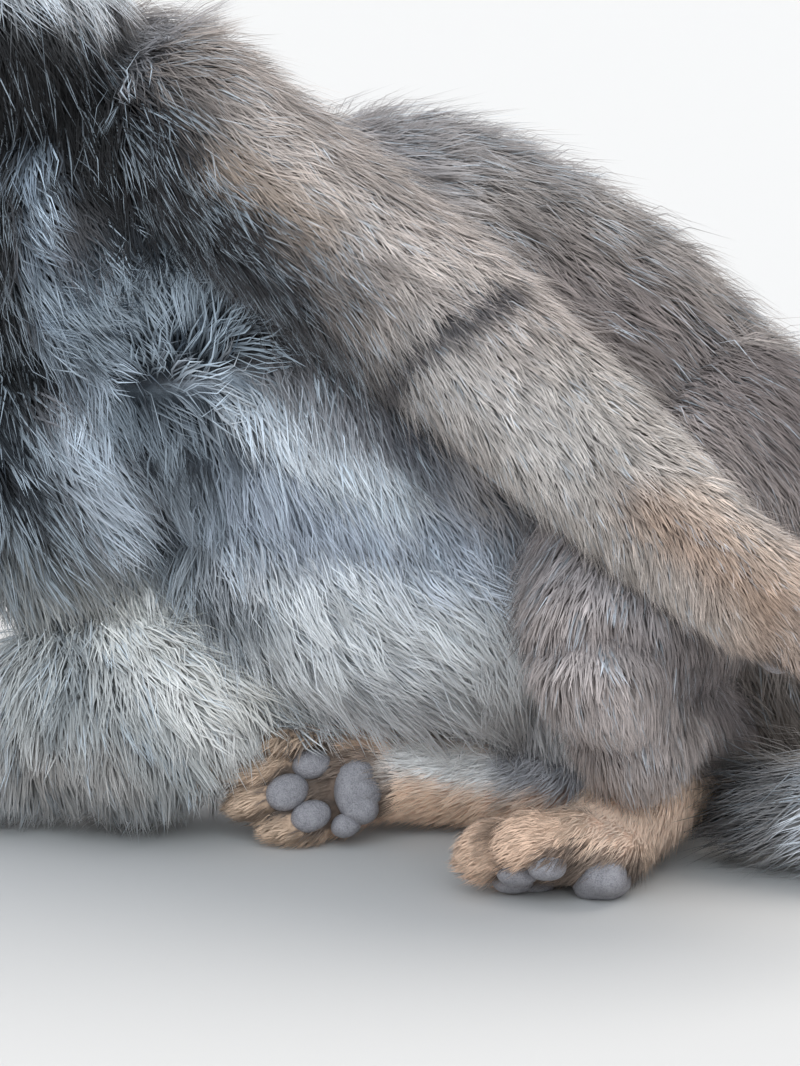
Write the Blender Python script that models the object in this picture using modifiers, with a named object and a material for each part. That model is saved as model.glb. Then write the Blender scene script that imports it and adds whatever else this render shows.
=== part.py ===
"""A life-size domestic cat lying on its right side with its chest propped on the right elbow.

The solids give the outline out to the tips of the coat. Each mass of the body is a blob: tubes along the
bones and a few rounded swellings, fused and smoothed as one. A blob is then parted at its joints with thin
slits, and each part is cut back from the parts made before it, so that neighbours meet without overlap.
Heading is the direction in plan, 0 along +X and 90 along +Y, and pitch is the angle above the horizon.
"""

import math

import bmesh
import bpy
from mathutils import Matrix, Vector

MM = 0.001
GAP = 0.35 * MM  # between neighbouring parts
FLOOR = 0.0  # level of the flats that the cat lies on
BODY_VOXEL, LIMB_VOXEL, TAIL_VOXEL = 3.0 * MM, 2.6 * MM, 2.8 * MM  # grain of the joined forms

# Bones, from joint to joint
HUMERUS, RADIUS, FOREHAND, FORETOES = 98 * MM, 98 * MM, 30 * MM, 30 * MM
FEMUR, TIBIA, METATARSUS, HINDTOES = 93 * MM, 94 * MM, 67 * MM, 34 * MM

# Where each limb leaves the trunk
SHOULDER_LEFT = Vector((-62, 40, 206)) * MM
SHOULDER_RIGHT = Vector((-106, 80, 121)) * MM
HIP_LEFT = Vector((85, 60, 106)) * MM
HIP_RIGHT = Vector((54, 92, 46)) * MM

# The head: centre of the skull, and the way the face looks
HEAD = Vector((-116, 52, 292)) * MM
HEAD_HEADING, HEAD_PITCH, HEAD_ROLL = -82, -8, 6
EYE_RADIUS = 10.4 * MM
EYE_PLACE = Vector((16.8, 23.4, 4.5)) * MM  # the left eye, in the head's own axes
EAR_PLACE = Vector((22, -11, 28)) * MM
EAR_HEIGHT, EAR_WIDTH, EAR_DEPTH = 54 * MM, 20 * MM, 13 * MM

TAIL_RADIUS = 21 * MM
FUR = (0.52, 0.47, 0.42)


# ---------------------------------------------------------------- basic shapes


def clear_scene():
    for obj in list(bpy.data.objects):
        bpy.data.objects.remove(obj, do_unlink=True)


def reach(start, length, heading, pitch):
    """The point at the end of a bone that leaves start that way."""
    turn, rise = math.radians(heading), math.radians(pitch)
    flat = math.cos(rise)
    way = Vector((flat * math.cos(turn), flat * math.sin(turn), math.sin(rise)))
    return start + way * length


def axes(forward, up):
    """A rotation whose Y runs forward and whose Z is as near as can be to up."""
    y = forward.normalized()
    x = y.cross(up).normalized()
    return Matrix((x, y, x.cross(y))).transposed().to_4x4()


def mesh_of(obj):
    """The evaluated mesh in world space, as a new mesh, and the object removed."""
    graph = bpy.context.evaluated_depsgraph_get()
    graph.update()
    mesh = bpy.data.meshes.new_from_object(obj.evaluated_get(graph))
    mesh.transform(obj.matrix_world)
    bpy.data.objects.remove(obj, do_unlink=True)
    return mesh


def placed(mesh, name="piece"):
    obj = bpy.data.objects.new(name, mesh)
    bpy.context.scene.collection.objects.link(obj)
    return obj


def tube(points, radii):
    """A smooth tube through the points, as thick at each as its radius, with round ends."""
    curve = bpy.data.curves.new("tube", "CURVE")
    curve.dimensions = "3D"
    curve.bevel_depth = 1.0
    curve.bevel_resolution = 4
    curve.resolution_u = 6
    curve.use_fill_caps = True
    spline = curve.splines.new("BEZIER")
    spline.bezier_points.add(len(points) - 1)
    for knot, point, radius in zip(spline.bezier_points, points, radii):
        knot.co = point
        knot.radius = radius
        knot.handle_left_type = knot.handle_right_type = "AUTO"
    meshes = [mesh_of(placed(curve))]
    for point, radius in ((points[0], radii[0]), (points[-1], radii[-1])):
        meshes.append(swelling(point, (radius, radius, radius)))
    return meshes


def swelling(centre, radii, turn=None):
    """An ellipsoid with these half sizes along the axes of turn."""
    form = bmesh.new()
    bmesh.ops.create_uvsphere(form, u_segments=12, v_segments=8, radius=1.0)
    stretch = Matrix.Diagonal((*radii, 1.0))
    bmesh.ops.transform(form, matrix=Matrix.Translation(centre) @ (turn or Matrix()) @ stretch, verts=form.verts)
    mesh = bpy.data.meshes.new("swelling")
    form.to_mesh(mesh)
    form.free()
    return mesh


def blob(meshes, voxel, rounds, triangles):
    """The meshes fused into one closed skin, smoothed, and thinned to about so many triangles."""
    whole = bmesh.new()
    for mesh in meshes:
        whole.from_mesh(mesh)
    bmesh.ops.remove_doubles(whole, verts=whole.verts, dist=0.01 * MM)
    joined = bpy.data.meshes.new("blob")
    whole.to_mesh(joined)
    whole.free()
    obj = placed(joined)
    fuse = obj.modifiers.new("fuse", "REMESH")
    fuse.mode = "VOXEL"
    fuse.voxel_size = voxel
    ease = obj.modifiers.new("ease", "SMOOTH")
    ease.factor = 0.5
    ease.iterations = rounds
    fused = mesh_of(obj)
    obj = placed(fused)
    thin = obj.modifiers.new("thin", "DECIMATE")
    thin.ratio = min(1.0, triangles / (2 * len(fused.polygons)))
    return mesh_of(obj)


# ---------------------------------------------------------------- cutting


def half(mesh, point, normal):
    """What lies on the normal's side of a plane, closed with a flat."""
    form = bmesh.new()
    form.from_mesh(mesh)
    everything = [*form.verts, *form.edges, *form.faces]
    bmesh.ops.bisect_plane(
        form, geom=everything, dist=1e-6, plane_co=point, plane_no=normal, clear_inner=True
    )
    bmesh.ops.holes_fill(form, edges=[e for e in form.edges if e.is_boundary], sides=0)
    bmesh.ops.triangulate(form, faces=[f for f in form.faces if len(f.verts) > 3])
    bmesh.ops.recalc_face_normals(form, faces=form.faces)
    cut = bpy.data.meshes.new("half")
    form.to_mesh(cut)
    form.free()
    return cut


def parted(mesh, point, normal):
    """The two sides of a plane, a gap apart: first the one the normal points away from."""
    n = normal.normalized()
    return half(mesh, point - n * (GAP / 2), -n), half(mesh, point + n * (GAP / 2), n)


def at_joint(mesh, before, joint, after):
    """Parts a limb at a joint, by the plane that halves the angle between its two bones."""
    bend = (joint - before).normalized() + (after - joint).normalized()
    return parted(mesh, joint, bend)


def grown(mesh, by):
    form = bmesh.new()
    form.from_mesh(mesh)
    form.normal_update()
    moves = [v.normal * by for v in form.verts]
    for vertex, move in zip(form.verts, moves):
        vertex.co += move
    bigger = bpy.data.meshes.new("grown")
    form.to_mesh(bigger)
    form.free()
    return bigger


def largest_piece(mesh):
    """The biggest of the loose pieces that a cut leaves."""
    form = bmesh.new()
    form.from_mesh(mesh)
    bmesh.ops.remove_doubles(form, verts=form.verts, dist=0.02 * MM)
    bmesh.ops.dissolve_degenerate(form, edges=form.edges, dist=0.02 * MM)
    left, pieces = set(form.verts), []
    while left:
        found, edge = set(), [left.pop()]
        while edge:
            vertex = edge.pop()
            found.add(vertex)
            near = {e.other_vert(vertex) for e in vertex.link_edges} & left
            left -= near
            edge.extend(near)
        pieces.append(found)
    keep = max(pieces, key=len)
    bmesh.ops.delete(form, geom=[v for v in form.verts if v not in keep], context="VERTS")
    kept = bpy.data.meshes.new("kept")
    form.to_mesh(kept)
    form.free()
    return kept


def boxes_meet(first, second):
    def span(mesh):
        corners = [v.co for v in mesh.vertices]
        return [(min(c[i] for c in corners), max(c[i] for c in corners)) for i in range(3)]

    return all(a[0] < b[1] and b[0] < a[1] for a, b in zip(span(first), span(second)))


def carved(mesh, others):
    """The mesh without the room that the others take, grown by the gap."""
    for other in others:
        if not boxes_meet(mesh, other):
            continue
        obj, cutter = placed(mesh), placed(grown(other, GAP))
        carve = obj.modifiers.new("carve", "BOOLEAN")
        carve.operation = "DIFFERENCE"
        carve.solver = "EXACT"
        carve.object = cutter
        mesh = mesh_of(obj)
        bpy.data.objects.remove(cutter, do_unlink=True)
    return largest_piece(mesh)


# ---------------------------------------------------------------- the body


def spine():
    """Trunk, neck and head as one form, rump first. The rump lies low and the chest is raised."""
    stations = (
        ((114, 94, 44), 47),
        ((84, 90, 80), 61),
        ((38, 86, 110), 76),
        ((-6, 84, 129), 79),
        ((-52, 86, 142), 67),
        ((-94, 86, 168), 63),
        ((-120, 82, 200), 55),
        ((-130, 76, 238), 44),
        ((-124, 64, 276), 35),
    )
    body = tube([Vector(p) * MM for p, _ in stations], [r * MM for _, r in stations])
    swellings = (
        ((4, 62, 86), (78, 52, 57)),  # belly
        ((4, 60, 52), (50, 28, 24)),  # groin, where the belly lies on the thigh
        ((-84, 60, 180), (54, 48, 52)),  # chest
        ((-84, 50, 214), (34, 32, 32)),  # front of the shoulder
        ((-100, 58, 112), (34, 30, 46)),  # long hair from the chest over the elbow
        ((-108, 42, 238), (38, 34, 36)),  # ruff under the chin
    )
    for centre, radii in swellings:
        body.append(swelling(Vector(centre) * MM, Vector(radii) * MM))
    body += head_forms()
    return blob(body, BODY_VOXEL, 8, 2200)


def head_frame():
    forward = reach(Vector(), 1.0, HEAD_HEADING, HEAD_PITCH)
    tilt = Matrix.Rotation(math.radians(HEAD_ROLL), 4, forward)
    return Matrix.Translation(HEAD) @ tilt @ axes(forward, Vector((0, 0, 1)))


def head_forms():
    """The skull, cheeks, muzzle and chin in the head's own axes: X to its right, Y forward, Z up."""
    middle = (
        ((0, -9, 6), (36, 38, 32)),  # cranium
        ((0, 14, 11), (27, 23, 21)),  # forehead
        ((0, 22, 17), (11.5, 11, 10)),  # top of the bridge of the nose
        ((0, 32, 8.5), (9.2, 12, 8)),  # bridge
        ((0, 41, 2), (7.4, 10, 6)),  # and down to the nose
        ((0, 32, -11), (19, 20, 13.5)),  # muzzle
        ((0, 37, -22.5), (12, 11, 8.5)),  # chin
        ((0, 10, -20), (25, 28, 16)),  # jaw
        ((0, -26, -14), (29, 22, 25)),  # nape
    )
    paired = (
        ((19, 3, -9), (25, 28, 23)),  # cheek
        ((26, -12, -15), (21, 19, 23)),  # cheek ruff
        ((8.6, 41, -13.5), (11.5, 11.5, 10)),  # whisker pad
        ((17, 22, -9), (13, 15, 11)),  # under the eye
        ((23, 17, 3), (10, 13.5, 12)),  # outer side of the eye
        ((16, 18, 12), (14, 15, 11)),  # brow
    )
    frame = head_frame()
    forms = [swelling(Vector(c) * MM, Vector(r) * MM) for c, r in middle]
    for centre, radii in paired:
        for side in (-1, 1):
            place = Vector((side * centre[0], centre[1], centre[2])) * MM
            forms.append(swelling(place, Vector(radii) * MM))
    for form in forms:
        form.transform(frame)
    return forms


def ear(side):
    """A pricked ear: a flat cone hollowed from the front, with its base sunk in the skull."""
    def cone(width, depth, height):
        form = bmesh.new()
        bmesh.ops.create_cone(
            form, cap_ends=True, cap_tris=True, segments=14, radius1=1.0, radius2=0.14, depth=1.0
        )
        bmesh.ops.subdivide_edges(
            form, edges=[e for e in form.edges if abs(e.verts[0].co.z - e.verts[1].co.z) > 0.5], cuts=3
        )
        for vertex in form.verts:  # sides that bow outwards, as an ear's edges do
            share = vertex.co.z + 0.5
            bow = 0.62 + 0.85 * math.sin(math.pi * (0.12 + 0.75 * share))
            vertex.co = Vector((vertex.co.x * width * bow, vertex.co.y * depth * bow, share * height))
        mesh = bpy.data.meshes.new("cone")
        form.to_mesh(mesh)
        form.free()
        return mesh

    outer = cone(EAR_WIDTH, EAR_DEPTH, EAR_HEIGHT)
    inner = cone(EAR_WIDTH * 0.84, EAR_DEPTH * 0.95, EAR_HEIGHT * 0.93)
    inner.transform(Matrix.Translation((0, EAR_DEPTH * 0.62, 9 * MM)))
    obj, cutter = placed(outer), placed(inner)
    hollow = obj.modifiers.new("hollow", "BOOLEAN")
    hollow.operation = "DIFFERENCE"
    hollow.object = cutter
    shell = mesh_of(obj)
    bpy.data.objects.remove(cutter, do_unlink=True)
    lean = Matrix.Rotation(math.radians(15 * side), 4, "Y")
    fan = Matrix.Rotation(math.radians(-16 * side), 4, "Z")
    nod = Matrix.Rotation(math.radians(-6), 4, "X")
    place = Vector((side * EAR_PLACE.x, EAR_PLACE.y, EAR_PLACE.z - 16 * MM))
    shell.transform(head_frame() @ Matrix.Translation(place) @ lean @ nod @ fan)
    return shell


def paw_forms(ball, forward, up, toe_length, flat, spread):
    """A paw's palm, four toes and five pads. forward runs to the toes, and up to the back of the paw."""
    turn = axes(forward, up)
    side, ahead, back = (turn.col[i].to_3d() for i in range(3))
    forms = [swelling(ball, Vector((16.5 * spread, 18, flat)) * MM, turn)]
    forms.append(swelling(ball + ahead * toe_length * 0.45, Vector((17.5 * spread, 15, flat * 0.9)) * MM, turn))
    pads = [swelling(ball - back * 8.5 * MM - ahead * 3 * MM, Vector((11, 7.5, 5)) * MM, turn)]
    for place, lead in ((-12.6, 0.5), (-4.4, 0.76), (4.4, 0.76), (12.6, 0.5)):
        tip = ball + side * place * spread * MM + ahead * lead * toe_length
        forms.append(swelling(tip - back * 1.0 * MM, Vector((7.0, 12, 8.2)) * MM, turn))
        under = tip - back * 7.5 * MM - ahead * 1.5 * MM
        pads.append(swelling(under, Vector((4.4, 6, 4)) * MM, turn))
    return forms + pads


def foreleg(shoulder, ways, paw_up, palm, triangles, fluff=()):
    """Upper arm, forearm and forepaw. ways holds heading and pitch of the four bones.

    fluff holds swellings of thick coat, as centre and half sizes.
    """
    bones = (HUMERUS, RADIUS, FOREHAND, FORETOES)
    joints = [shoulder]
    for length, (heading, pitch) in zip(bones, ways):
        joints.append(reach(joints[-1], length, heading, pitch))
    shoulder, elbow, wrist, ball, tips = joints
    middle = elbow.lerp(wrist, 0.4)
    path = [shoulder, shoulder.lerp(elbow, 0.55), elbow, middle, wrist, ball]
    thick = [t * MM for t in (33, 31, 29, 26.5, 19.5, 17)]
    paw = paw_forms(ball, tips - wrist, paw_up, FORETOES, palm, 1.15)
    extra = [swelling(Vector(centre) * MM, Vector(radii) * MM) for centre, radii in fluff]
    arm = blob(tube(path, thick) + extra + paw, LIMB_VOXEL, 4, triangles)
    upper, rest = at_joint(arm, shoulder, elbow, wrist)
    fore, hand = at_joint(rest, elbow, wrist, ball)
    return upper, fore, hand


def hindleg(hip, ways, paw_up, palm, triangles, fluff=()):
    """Thigh, shank and hind foot, made as a foreleg is."""
    bones = (FEMUR, TIBIA, METATARSUS, HINDTOES)
    joints = [hip]
    for length, (heading, pitch) in zip(bones, ways):
        joints.append(reach(joints[-1], length, heading, pitch))
    hip, knee, hock, ball, tips = joints
    thigh = tube([hip, hip.lerp(knee, 0.5), knee], [t * MM for t in (48, 41, 26)])
    shank = tube([knee, knee.lerp(hock, 0.5), hock], [t * MM for t in (24.5, 21, 16.5)])
    foot = tube([hock, ball], [t * MM for t in (16, 15)])
    paw = paw_forms(ball, tips - ball, paw_up, HINDTOES, palm, 1.0)
    extra = [swelling(Vector(centre) * MM, Vector(radii) * MM) for centre, radii in fluff]
    leg = blob(thigh + shank + foot + extra + paw, LIMB_VOXEL, 4, triangles)
    upper, rest = at_joint(leg, hip, knee, hock)
    lower, foot = at_joint(rest, knee, hock, ball)
    return upper, lower, foot


def tail():
    """From the rump round to the front, lying on the floor, in three lengths."""
    points = (
        (118, 98, 66),
        (158, 110, 44),
        (196, 98, 24),
        (208, 60, 21),
        (184, 26, 20),
        (144, 14, 21),
        (106, 22, 20),
    )
    sizes = (0.86, 0.95, 1.03, 1.08, 1.12, 1.12, 0.92)
    path = [Vector(p) * MM for p in points]
    form = blob(tube(path, [TAIL_RADIUS * s for s in sizes]), TAIL_VOXEL, 4, 360)
    base, rest = parted(form, path[2], path[3] - path[1])
    middle, end = parted(rest, path[4], path[5] - path[3])
    return base, middle, end


# ---------------------------------------------------------------- assembly


def material(name, colour, roughness):
    made = bpy.data.materials.new(name)
    made.use_nodes = True
    shader = made.node_tree.nodes["Principled BSDF"]
    shader.inputs["Base Color"].default_value = (*colour, 1.0)
    shader.inputs["Roughness"].default_value = roughness
    shader.inputs["Metallic"].default_value = 0.0
    return made


def fleshy_parts():
    """Every part of flesh in the order it is carved, each giving way to those before it."""
    up, to_back = Vector((0, 0, 1)), Vector((0.1, 0.93, -0.3))
    form = spine()
    neck_way = Vector((-0.35, -0.1, 1))
    trunk, rest = parted(form, Vector((-127, 82, 214)) * MM, neck_way)
    nape = HEAD - Vector((5, -16, 24)) * MM
    neck, head = parted(rest, nape, HEAD + Vector((0, -14, 24)) * MM - nape)
    parts = {"trunk": trunk, "neck": neck, "head": head}

    names = ("thigh_left", "shank_left", "hind_foot_left")
    ways = ((-111, -20), (67, -29), (-121, -14), (-174, 3))
    calf = (((64, 5, 50), (22, 27, 26)),)  # fills the bend between the knee and the foot
    parts.update(zip(names, hindleg(HIP_LEFT, ways, Vector((0, 0.5, 0.87)), 12, 600, calf)))
    names = ("thigh_right", "shank_right", "hind_foot_right")
    ways = ((-172, -3), (-6, -17), (-166, 4), (-171, -4))
    parts.update(zip(names, hindleg(HIP_RIGHT, ways, to_back, 12, 560)))
    names = ("upper_arm_right", "forearm_right", "forepaw_right")
    ways = ((-14, -64), (-178, -8), (-172, -8), (-170, -2))
    elbow = (((-76, 58, 40), (45, 31, 35)),)
    parts.update(zip(names, foreleg(SHOULDER_RIGHT, ways, up, 12, 560, elbow)))
    names = ("upper_arm_left", "forearm_left", "forepaw_left")
    ways = ((-23, -31), (-34, -33), (2, -34), (13, -38))
    parts.update(zip(names, foreleg(SHOULDER_LEFT, ways, Vector((0.45, -0.5, 0.8)), 12.5, 540)))
    parts.update(zip(("tail_base", "tail_middle", "tail_end"), tail()))
    return parts


def main():
    clear_scene()
    home = bpy.data.collections.new("cat")
    bpy.context.scene.collection.children.link(home)
    fur = material("coat", FUR, 0.8)
    wet = material("eye", (0.42, 0.45, 0.16), 0.1)
    leather = material("nose_leather", (0.32, 0.17, 0.14), 0.5)
    frame = head_frame()
    done = {}

    def add(name, mesh, finish):
        mesh.name = name
        mesh.materials.clear()
        mesh.materials.append(finish)
        mesh.shade_smooth()
        done[name] = mesh
        home.objects.link(bpy.data.objects.new(name, mesh))

    for side, word in ((-1, "left"), (1, "right")):
        place = frame @ Vector((side * EYE_PLACE.x, EYE_PLACE.y, EYE_PLACE.z))
        add(f"eye_{word}", swelling(place, Vector((1, 1, 1)) * EYE_RADIUS), wet)
    nose = swelling(Vector((0, 49.5, -5.5)) * MM, Vector((6, 4.5, 4.2)) * MM)
    nose.transform(frame)
    add("nose", nose, leather)
    for name, mesh in fleshy_parts().items():
        add(name, half(carved(mesh, done.values()), Vector((0, 0, FLOOR)), Vector((0, 0, 1))), fur)
    for side, word in ((-1, "left"), (1, "right")):
        add(f"ear_{word}", carved(ear(side), done.values()), fur)
    centre_on_floor(home.objects)


def centre_on_floor(objects):
    """Moves the cat so that the middle of its outline in plan is at the origin."""
    corners = [v.co for obj in objects for v in obj.data.vertices]
    low = [min(c[i] for c in corners) for i in range(3)]
    high = [max(c[i] for c in corners) for i in range(3)]
    shift = Vector(((low[0] + high[0]) / 2, (low[1] + high[1]) / 2, low[2]))
    for obj in objects:
        obj.data.transform(Matrix.Translation(-shift))


main()
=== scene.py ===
"""A life-size domestic cat lying on its side, with its skin, coat, eyes, nose, pads and whiskers.

Lengths in the tables are millimetres, in the cat's own drawing frame: X from the head end to the rump, Y from
the belly to the back, Z up from the floor. spot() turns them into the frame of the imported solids, in metres.
"""

import math

import bmesh
import bpy
import numpy as np
from bpy.props import FloatProperty, FloatVectorProperty, PointerProperty
from mathutils import Matrix, Vector, kdtree


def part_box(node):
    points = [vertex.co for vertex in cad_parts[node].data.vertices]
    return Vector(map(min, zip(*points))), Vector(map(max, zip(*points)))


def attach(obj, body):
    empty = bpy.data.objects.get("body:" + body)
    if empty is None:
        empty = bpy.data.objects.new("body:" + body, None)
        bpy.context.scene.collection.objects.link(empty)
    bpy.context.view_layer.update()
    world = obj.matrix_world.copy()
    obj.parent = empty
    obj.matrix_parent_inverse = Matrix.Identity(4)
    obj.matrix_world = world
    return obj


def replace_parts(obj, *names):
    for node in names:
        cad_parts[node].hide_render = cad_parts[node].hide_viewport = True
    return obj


bl_info = {
    "name": "Reclining cat",
    "version": (1, 0, 0),
    "blender": (4, 5, 0),
    "location": "View3D > Sidebar > Cat",
    "description": "Skin, coat, eyes, nose, pads and whiskers of a reclining cat",
    "category": "Object",
}

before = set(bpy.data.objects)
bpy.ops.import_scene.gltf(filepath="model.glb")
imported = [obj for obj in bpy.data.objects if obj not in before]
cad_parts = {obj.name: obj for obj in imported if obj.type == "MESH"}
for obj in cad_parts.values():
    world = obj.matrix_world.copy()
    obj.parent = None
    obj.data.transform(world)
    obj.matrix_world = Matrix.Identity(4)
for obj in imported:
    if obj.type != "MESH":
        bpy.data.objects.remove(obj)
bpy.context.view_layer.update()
MM = 0.001

# ---- the bones, as in the solids

HUMERUS, RADIUS, FOREHAND, FORETOES = 98, 98, 30, 30
FEMUR, TIBIA, METATARSUS, HINDTOES = 93, 94, 67, 34
SHOULDER_LEFT, SHOULDER_RIGHT = (-62, 40, 206), (-106, 80, 121)
HIP_LEFT, HIP_RIGHT = (85, 60, 106), (54, 92, 46)
HEAD = (-116, 52, 292)
HEAD_HEADING, HEAD_PITCH, HEAD_ROLL = -82, -8, 6
EYE_RADIUS = 10.4
EYE_PLACE = (16.8, 23.4, 4.5)
EAR_PLACE = (22, -11, 28)
TAIL_RADIUS = 21

# The view of the belly side, in metres: how far off the camera is, and how much height it takes in there
VIEW_LIFT = math.radians(13)
VIEW_DISTANCE = 1.4
VIEW_HEIGHT = 0.292


def reach(start, length, heading, pitch):
    """The point so far from the start, by a heading from +X towards +Y and a pitch upwards, in degrees."""
    turn, rise = math.radians(heading), math.radians(pitch)
    flat = math.cos(rise)
    return np.array(start, float) + length * np.array(
        (flat * math.cos(turn), flat * math.sin(turn), math.sin(rise))
    )


def unit(v):
    """Vectors made one long."""
    return v / np.maximum(np.linalg.norm(v, axis=-1, keepdims=True), 1e-12)


def axes(forward, up):
    """Rows are the side, forward and up directions: forward is kept, and up is made square to it."""
    y = unit(np.array(forward, float))
    x = unit(np.cross(y, np.array(up, float)))
    return np.array((x, y, np.cross(x, y)))


def head_axes():
    """The head's axes as rows, right, forward and up, from its heading, pitch and roll."""
    forward = reach((0, 0, 0), 1, HEAD_HEADING, HEAD_PITCH)
    tilt = np.array(Matrix.Rotation(math.radians(HEAD_ROLL), 3, Vector(forward)))
    return axes(forward, (0, 0, 1)) @ tilt.T


HEAD_AXES = head_axes()


def in_head(x, y, z):
    """A point given in the head's own axes: X to its right, Y forward, Z up."""
    return np.array(HEAD, float) + np.array((x, y, z)) @ HEAD_AXES


low, high = (np.array(corner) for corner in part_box("eye_left"))
SHIFT = in_head(-EYE_PLACE[0], *EYE_PLACE[1:]) * MM - (low + high) / 2


def spot(points):
    """Places given in the tables, in mm, as places in the frame, in metres."""
    return np.asarray(points, float) * MM - SHIFT


def head_spot(points):
    """Points in the head's own axes, as places in the frame."""
    return spot(np.array(HEAD, float) + points @ HEAD_AXES)


def joints_of(start, lengths, ways):
    """The joints of a limb, from its root to the tips of the toes."""
    points = [np.array(start, float)]
    for length, (heading, pitch) in zip(lengths, ways):
        points.append(reach(points[-1], length, heading, pitch))
    return points


FORE = (HUMERUS, RADIUS, FOREHAND, FORETOES)
HIND = (FEMUR, TIBIA, METATARSUS, HINDTOES)
ARM_LEFT = joints_of(SHOULDER_LEFT, FORE, ((-23, -31), (-34, -33), (2, -34), (13, -38)))
ARM_RIGHT = joints_of(SHOULDER_RIGHT, FORE, ((-14, -64), (-178, -8), (-172, -8), (-170, -2)))
LEG_LEFT = joints_of(HIP_LEFT, HIND, ((-111, -20), (67, -29), (-121, -14), (-174, 3)))
LEG_RIGHT = joints_of(HIP_RIGHT, HIND, ((-172, -3), (-6, -17), (-166, 4), (-171, -4)))

# Ball of the foot, its axes, length of the toes, half thickness of the palm, spread
PAWS = {
    "forepaw_left": (ARM_LEFT[3], axes(ARM_LEFT[4] - ARM_LEFT[2], (0.45, -0.5, 0.8)), FORETOES, 12.5, 1.15),
    "forepaw_right": (ARM_RIGHT[3], axes(ARM_RIGHT[4] - ARM_RIGHT[2], (0, 0, 1)), FORETOES, 12, 1.15),
    "hind_paw_left": (LEG_LEFT[3], axes(LEG_LEFT[4] - LEG_LEFT[3], (0, 0.5, 0.87)), HINDTOES, 12, 1.0),
    "hind_paw_right": (LEG_RIGHT[3], axes(LEG_RIGHT[4] - LEG_RIGHT[3], (0.1, 0.93, -0.3)), HINDTOES, 12, 1.0),
}


def limb(joints, upper, lower, outline, depth, hair):
    """The path of a limb: its joints, and a point part of the way down its upper and its lower bone."""
    a, b, c, *rest = joints
    return [a, a + (b - a) * upper, b, b + (c - b) * lower, c, *rest], outline, depth, hair


ARM_OUTLINE, ARM_DEPTH = (33, 31, 29, 26.5, 19.5, 17, 15), (10, 9.5, 9, 8, 5, 3.4, 3)
LEG_OUTLINE = (48, 41, 25.5, 21, 16.5, 15, 14)


# Each path runs the way the hair lies: points, outline radius, depth of coat, length of hair
PATHS = {
    "neck": (
        ((-124, 64, 276), (-130, 76, 238), (-120, 82, 200)),
        (35, 44, 55), (10, 11, 12), (17, 20, 22),
    ),
    "trunk": (
        ((-120, 82, 200), (-94, 86, 168), (-52, 86, 142), (-6, 84, 129), (38, 86, 110), (84, 90, 80),
         (114, 94, 44)),
        (55, 63, 67, 79, 76, 61, 47), (12, 12, 11, 11, 11, 11, 11), (22, 22, 21, 21, 21, 21, 20),
    ),
    "belly": (((-44, 62, 90), (6, 62, 86), (50, 62, 84)), (46, 56, 48), (12, 12, 12), (24, 24, 22)),
    "chest": (((-96, 60, 196), (-84, 60, 180), (-70, 60, 160)), (50, 52, 50), (11, 11, 11), (22, 21, 19)),
    "ruff": (((-112, 46, 250), (-104, 40, 226)), (36, 34), (11, 12), (23, 26)),
    "arm_left": limb(ARM_LEFT, 0.55, 0.4, ARM_OUTLINE, ARM_DEPTH, (18, 17, 14.5, 13, 10, 6.5, 5)),
    "arm_right": limb(ARM_RIGHT, 0.55, 0.4, ARM_OUTLINE, ARM_DEPTH, (20, 19, 16, 14, 10, 6.5, 5)),
    "leg_left": limb(LEG_LEFT, 0.5, 0.5, LEG_OUTLINE, (11, 10, 8, 7, 4.5, 3.6, 3),
                     (20, 18, 14, 13, 11, 7, 5)),
    "leg_right": limb(LEG_RIGHT, 0.5, 0.5, LEG_OUTLINE, (11, 10, 7, 6, 4.5, 3.6, 3),
                      (20, 18, 15, 12, 9, 6.5, 5)),
    "tail": (
        ((118, 98, 66), (158, 110, 44), (196, 98, 24), (208, 60, 21), (184, 26, 20), (144, 14, 21),
         (106, 22, 20)),
        tuple(TAIL_RADIUS * s for s in (0.86, 0.95, 1.03, 1.08, 1.12, 1.12, 0.92)),
        (9, 10, 11, 12, 12.5, 13, 12), (20, 24, 26, 27, 27, 27, 26),
    ),
}

# Swellings of body and limbs: centre, half sizes, depth of coat
SWELLINGS = (
    ((4, 62, 86), (78, 52, 57), 12),
    ((4, 60, 52), (50, 28, 24), 9),
    ((-84, 60, 180), (54, 48, 52), 11),
    ((-84, 50, 214), (34, 32, 32), 11),
    ((-100, 58, 112), (34, 30, 46), 6),
    ((-108, 42, 238), (38, 34, 36), 12),
    ((64, 5, 50), (22, 27, 26), 6),
    ((-76, 58, 40), (45, 31, 35), 7),
)

# Forms of the head in its own axes: centre, half sizes, depth of coat, whether there is one on each side
HEAD_FORMS = (
    ((0, -9, 6), (36, 38, 32), 5, False),
    ((0, 14, 11), (27, 23, 21), 4, False),
    ((0, 32, -11), (19, 20, 13.5), 3, False),
    ((0, 37, -22.5), (12, 11, 8.5), 2.4, False),
    ((0, 10, -20), (25, 28, 16), 7, False),
    ((19, 3, -9), (25, 28, 23), 6.0, True),
    ((17, 22, -9), (13, 15, 11), 2.6, True),
    ((23, 17, 3), (10, 13.5, 12), 2.4, True),
    ((26, -12, -15), (21, 19, 23), 9, True),
    ((8.6, 41, -13.5), (11.5, 11.5, 10), 2.2, True),
    ((16, 18, 12), (14, 15, 11), 2.6, True),
    ((0, -26, -14), (29, 22, 25), 8, False),
    ((0, -25, -5), (33, 21, 20), 7, False),
)


# ---- numpy surfaces

ASIDE = (0.31, 0.17, 0.93)  # a way that no bone runs along


def grid_triangles(rows, cols):
    """Triangles of a grid whose columns close on themselves."""
    r, c = np.meshgrid(np.arange(rows - 1), np.arange(cols), indexing="ij")
    a, b = r * cols + c, r * cols + (c + 1) % cols
    d, e = a + cols, b + cols
    return np.concatenate((np.stack((a, b, e), -1).reshape(-1, 3), np.stack((a, e, d), -1).reshape(-1, 3)))


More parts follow.
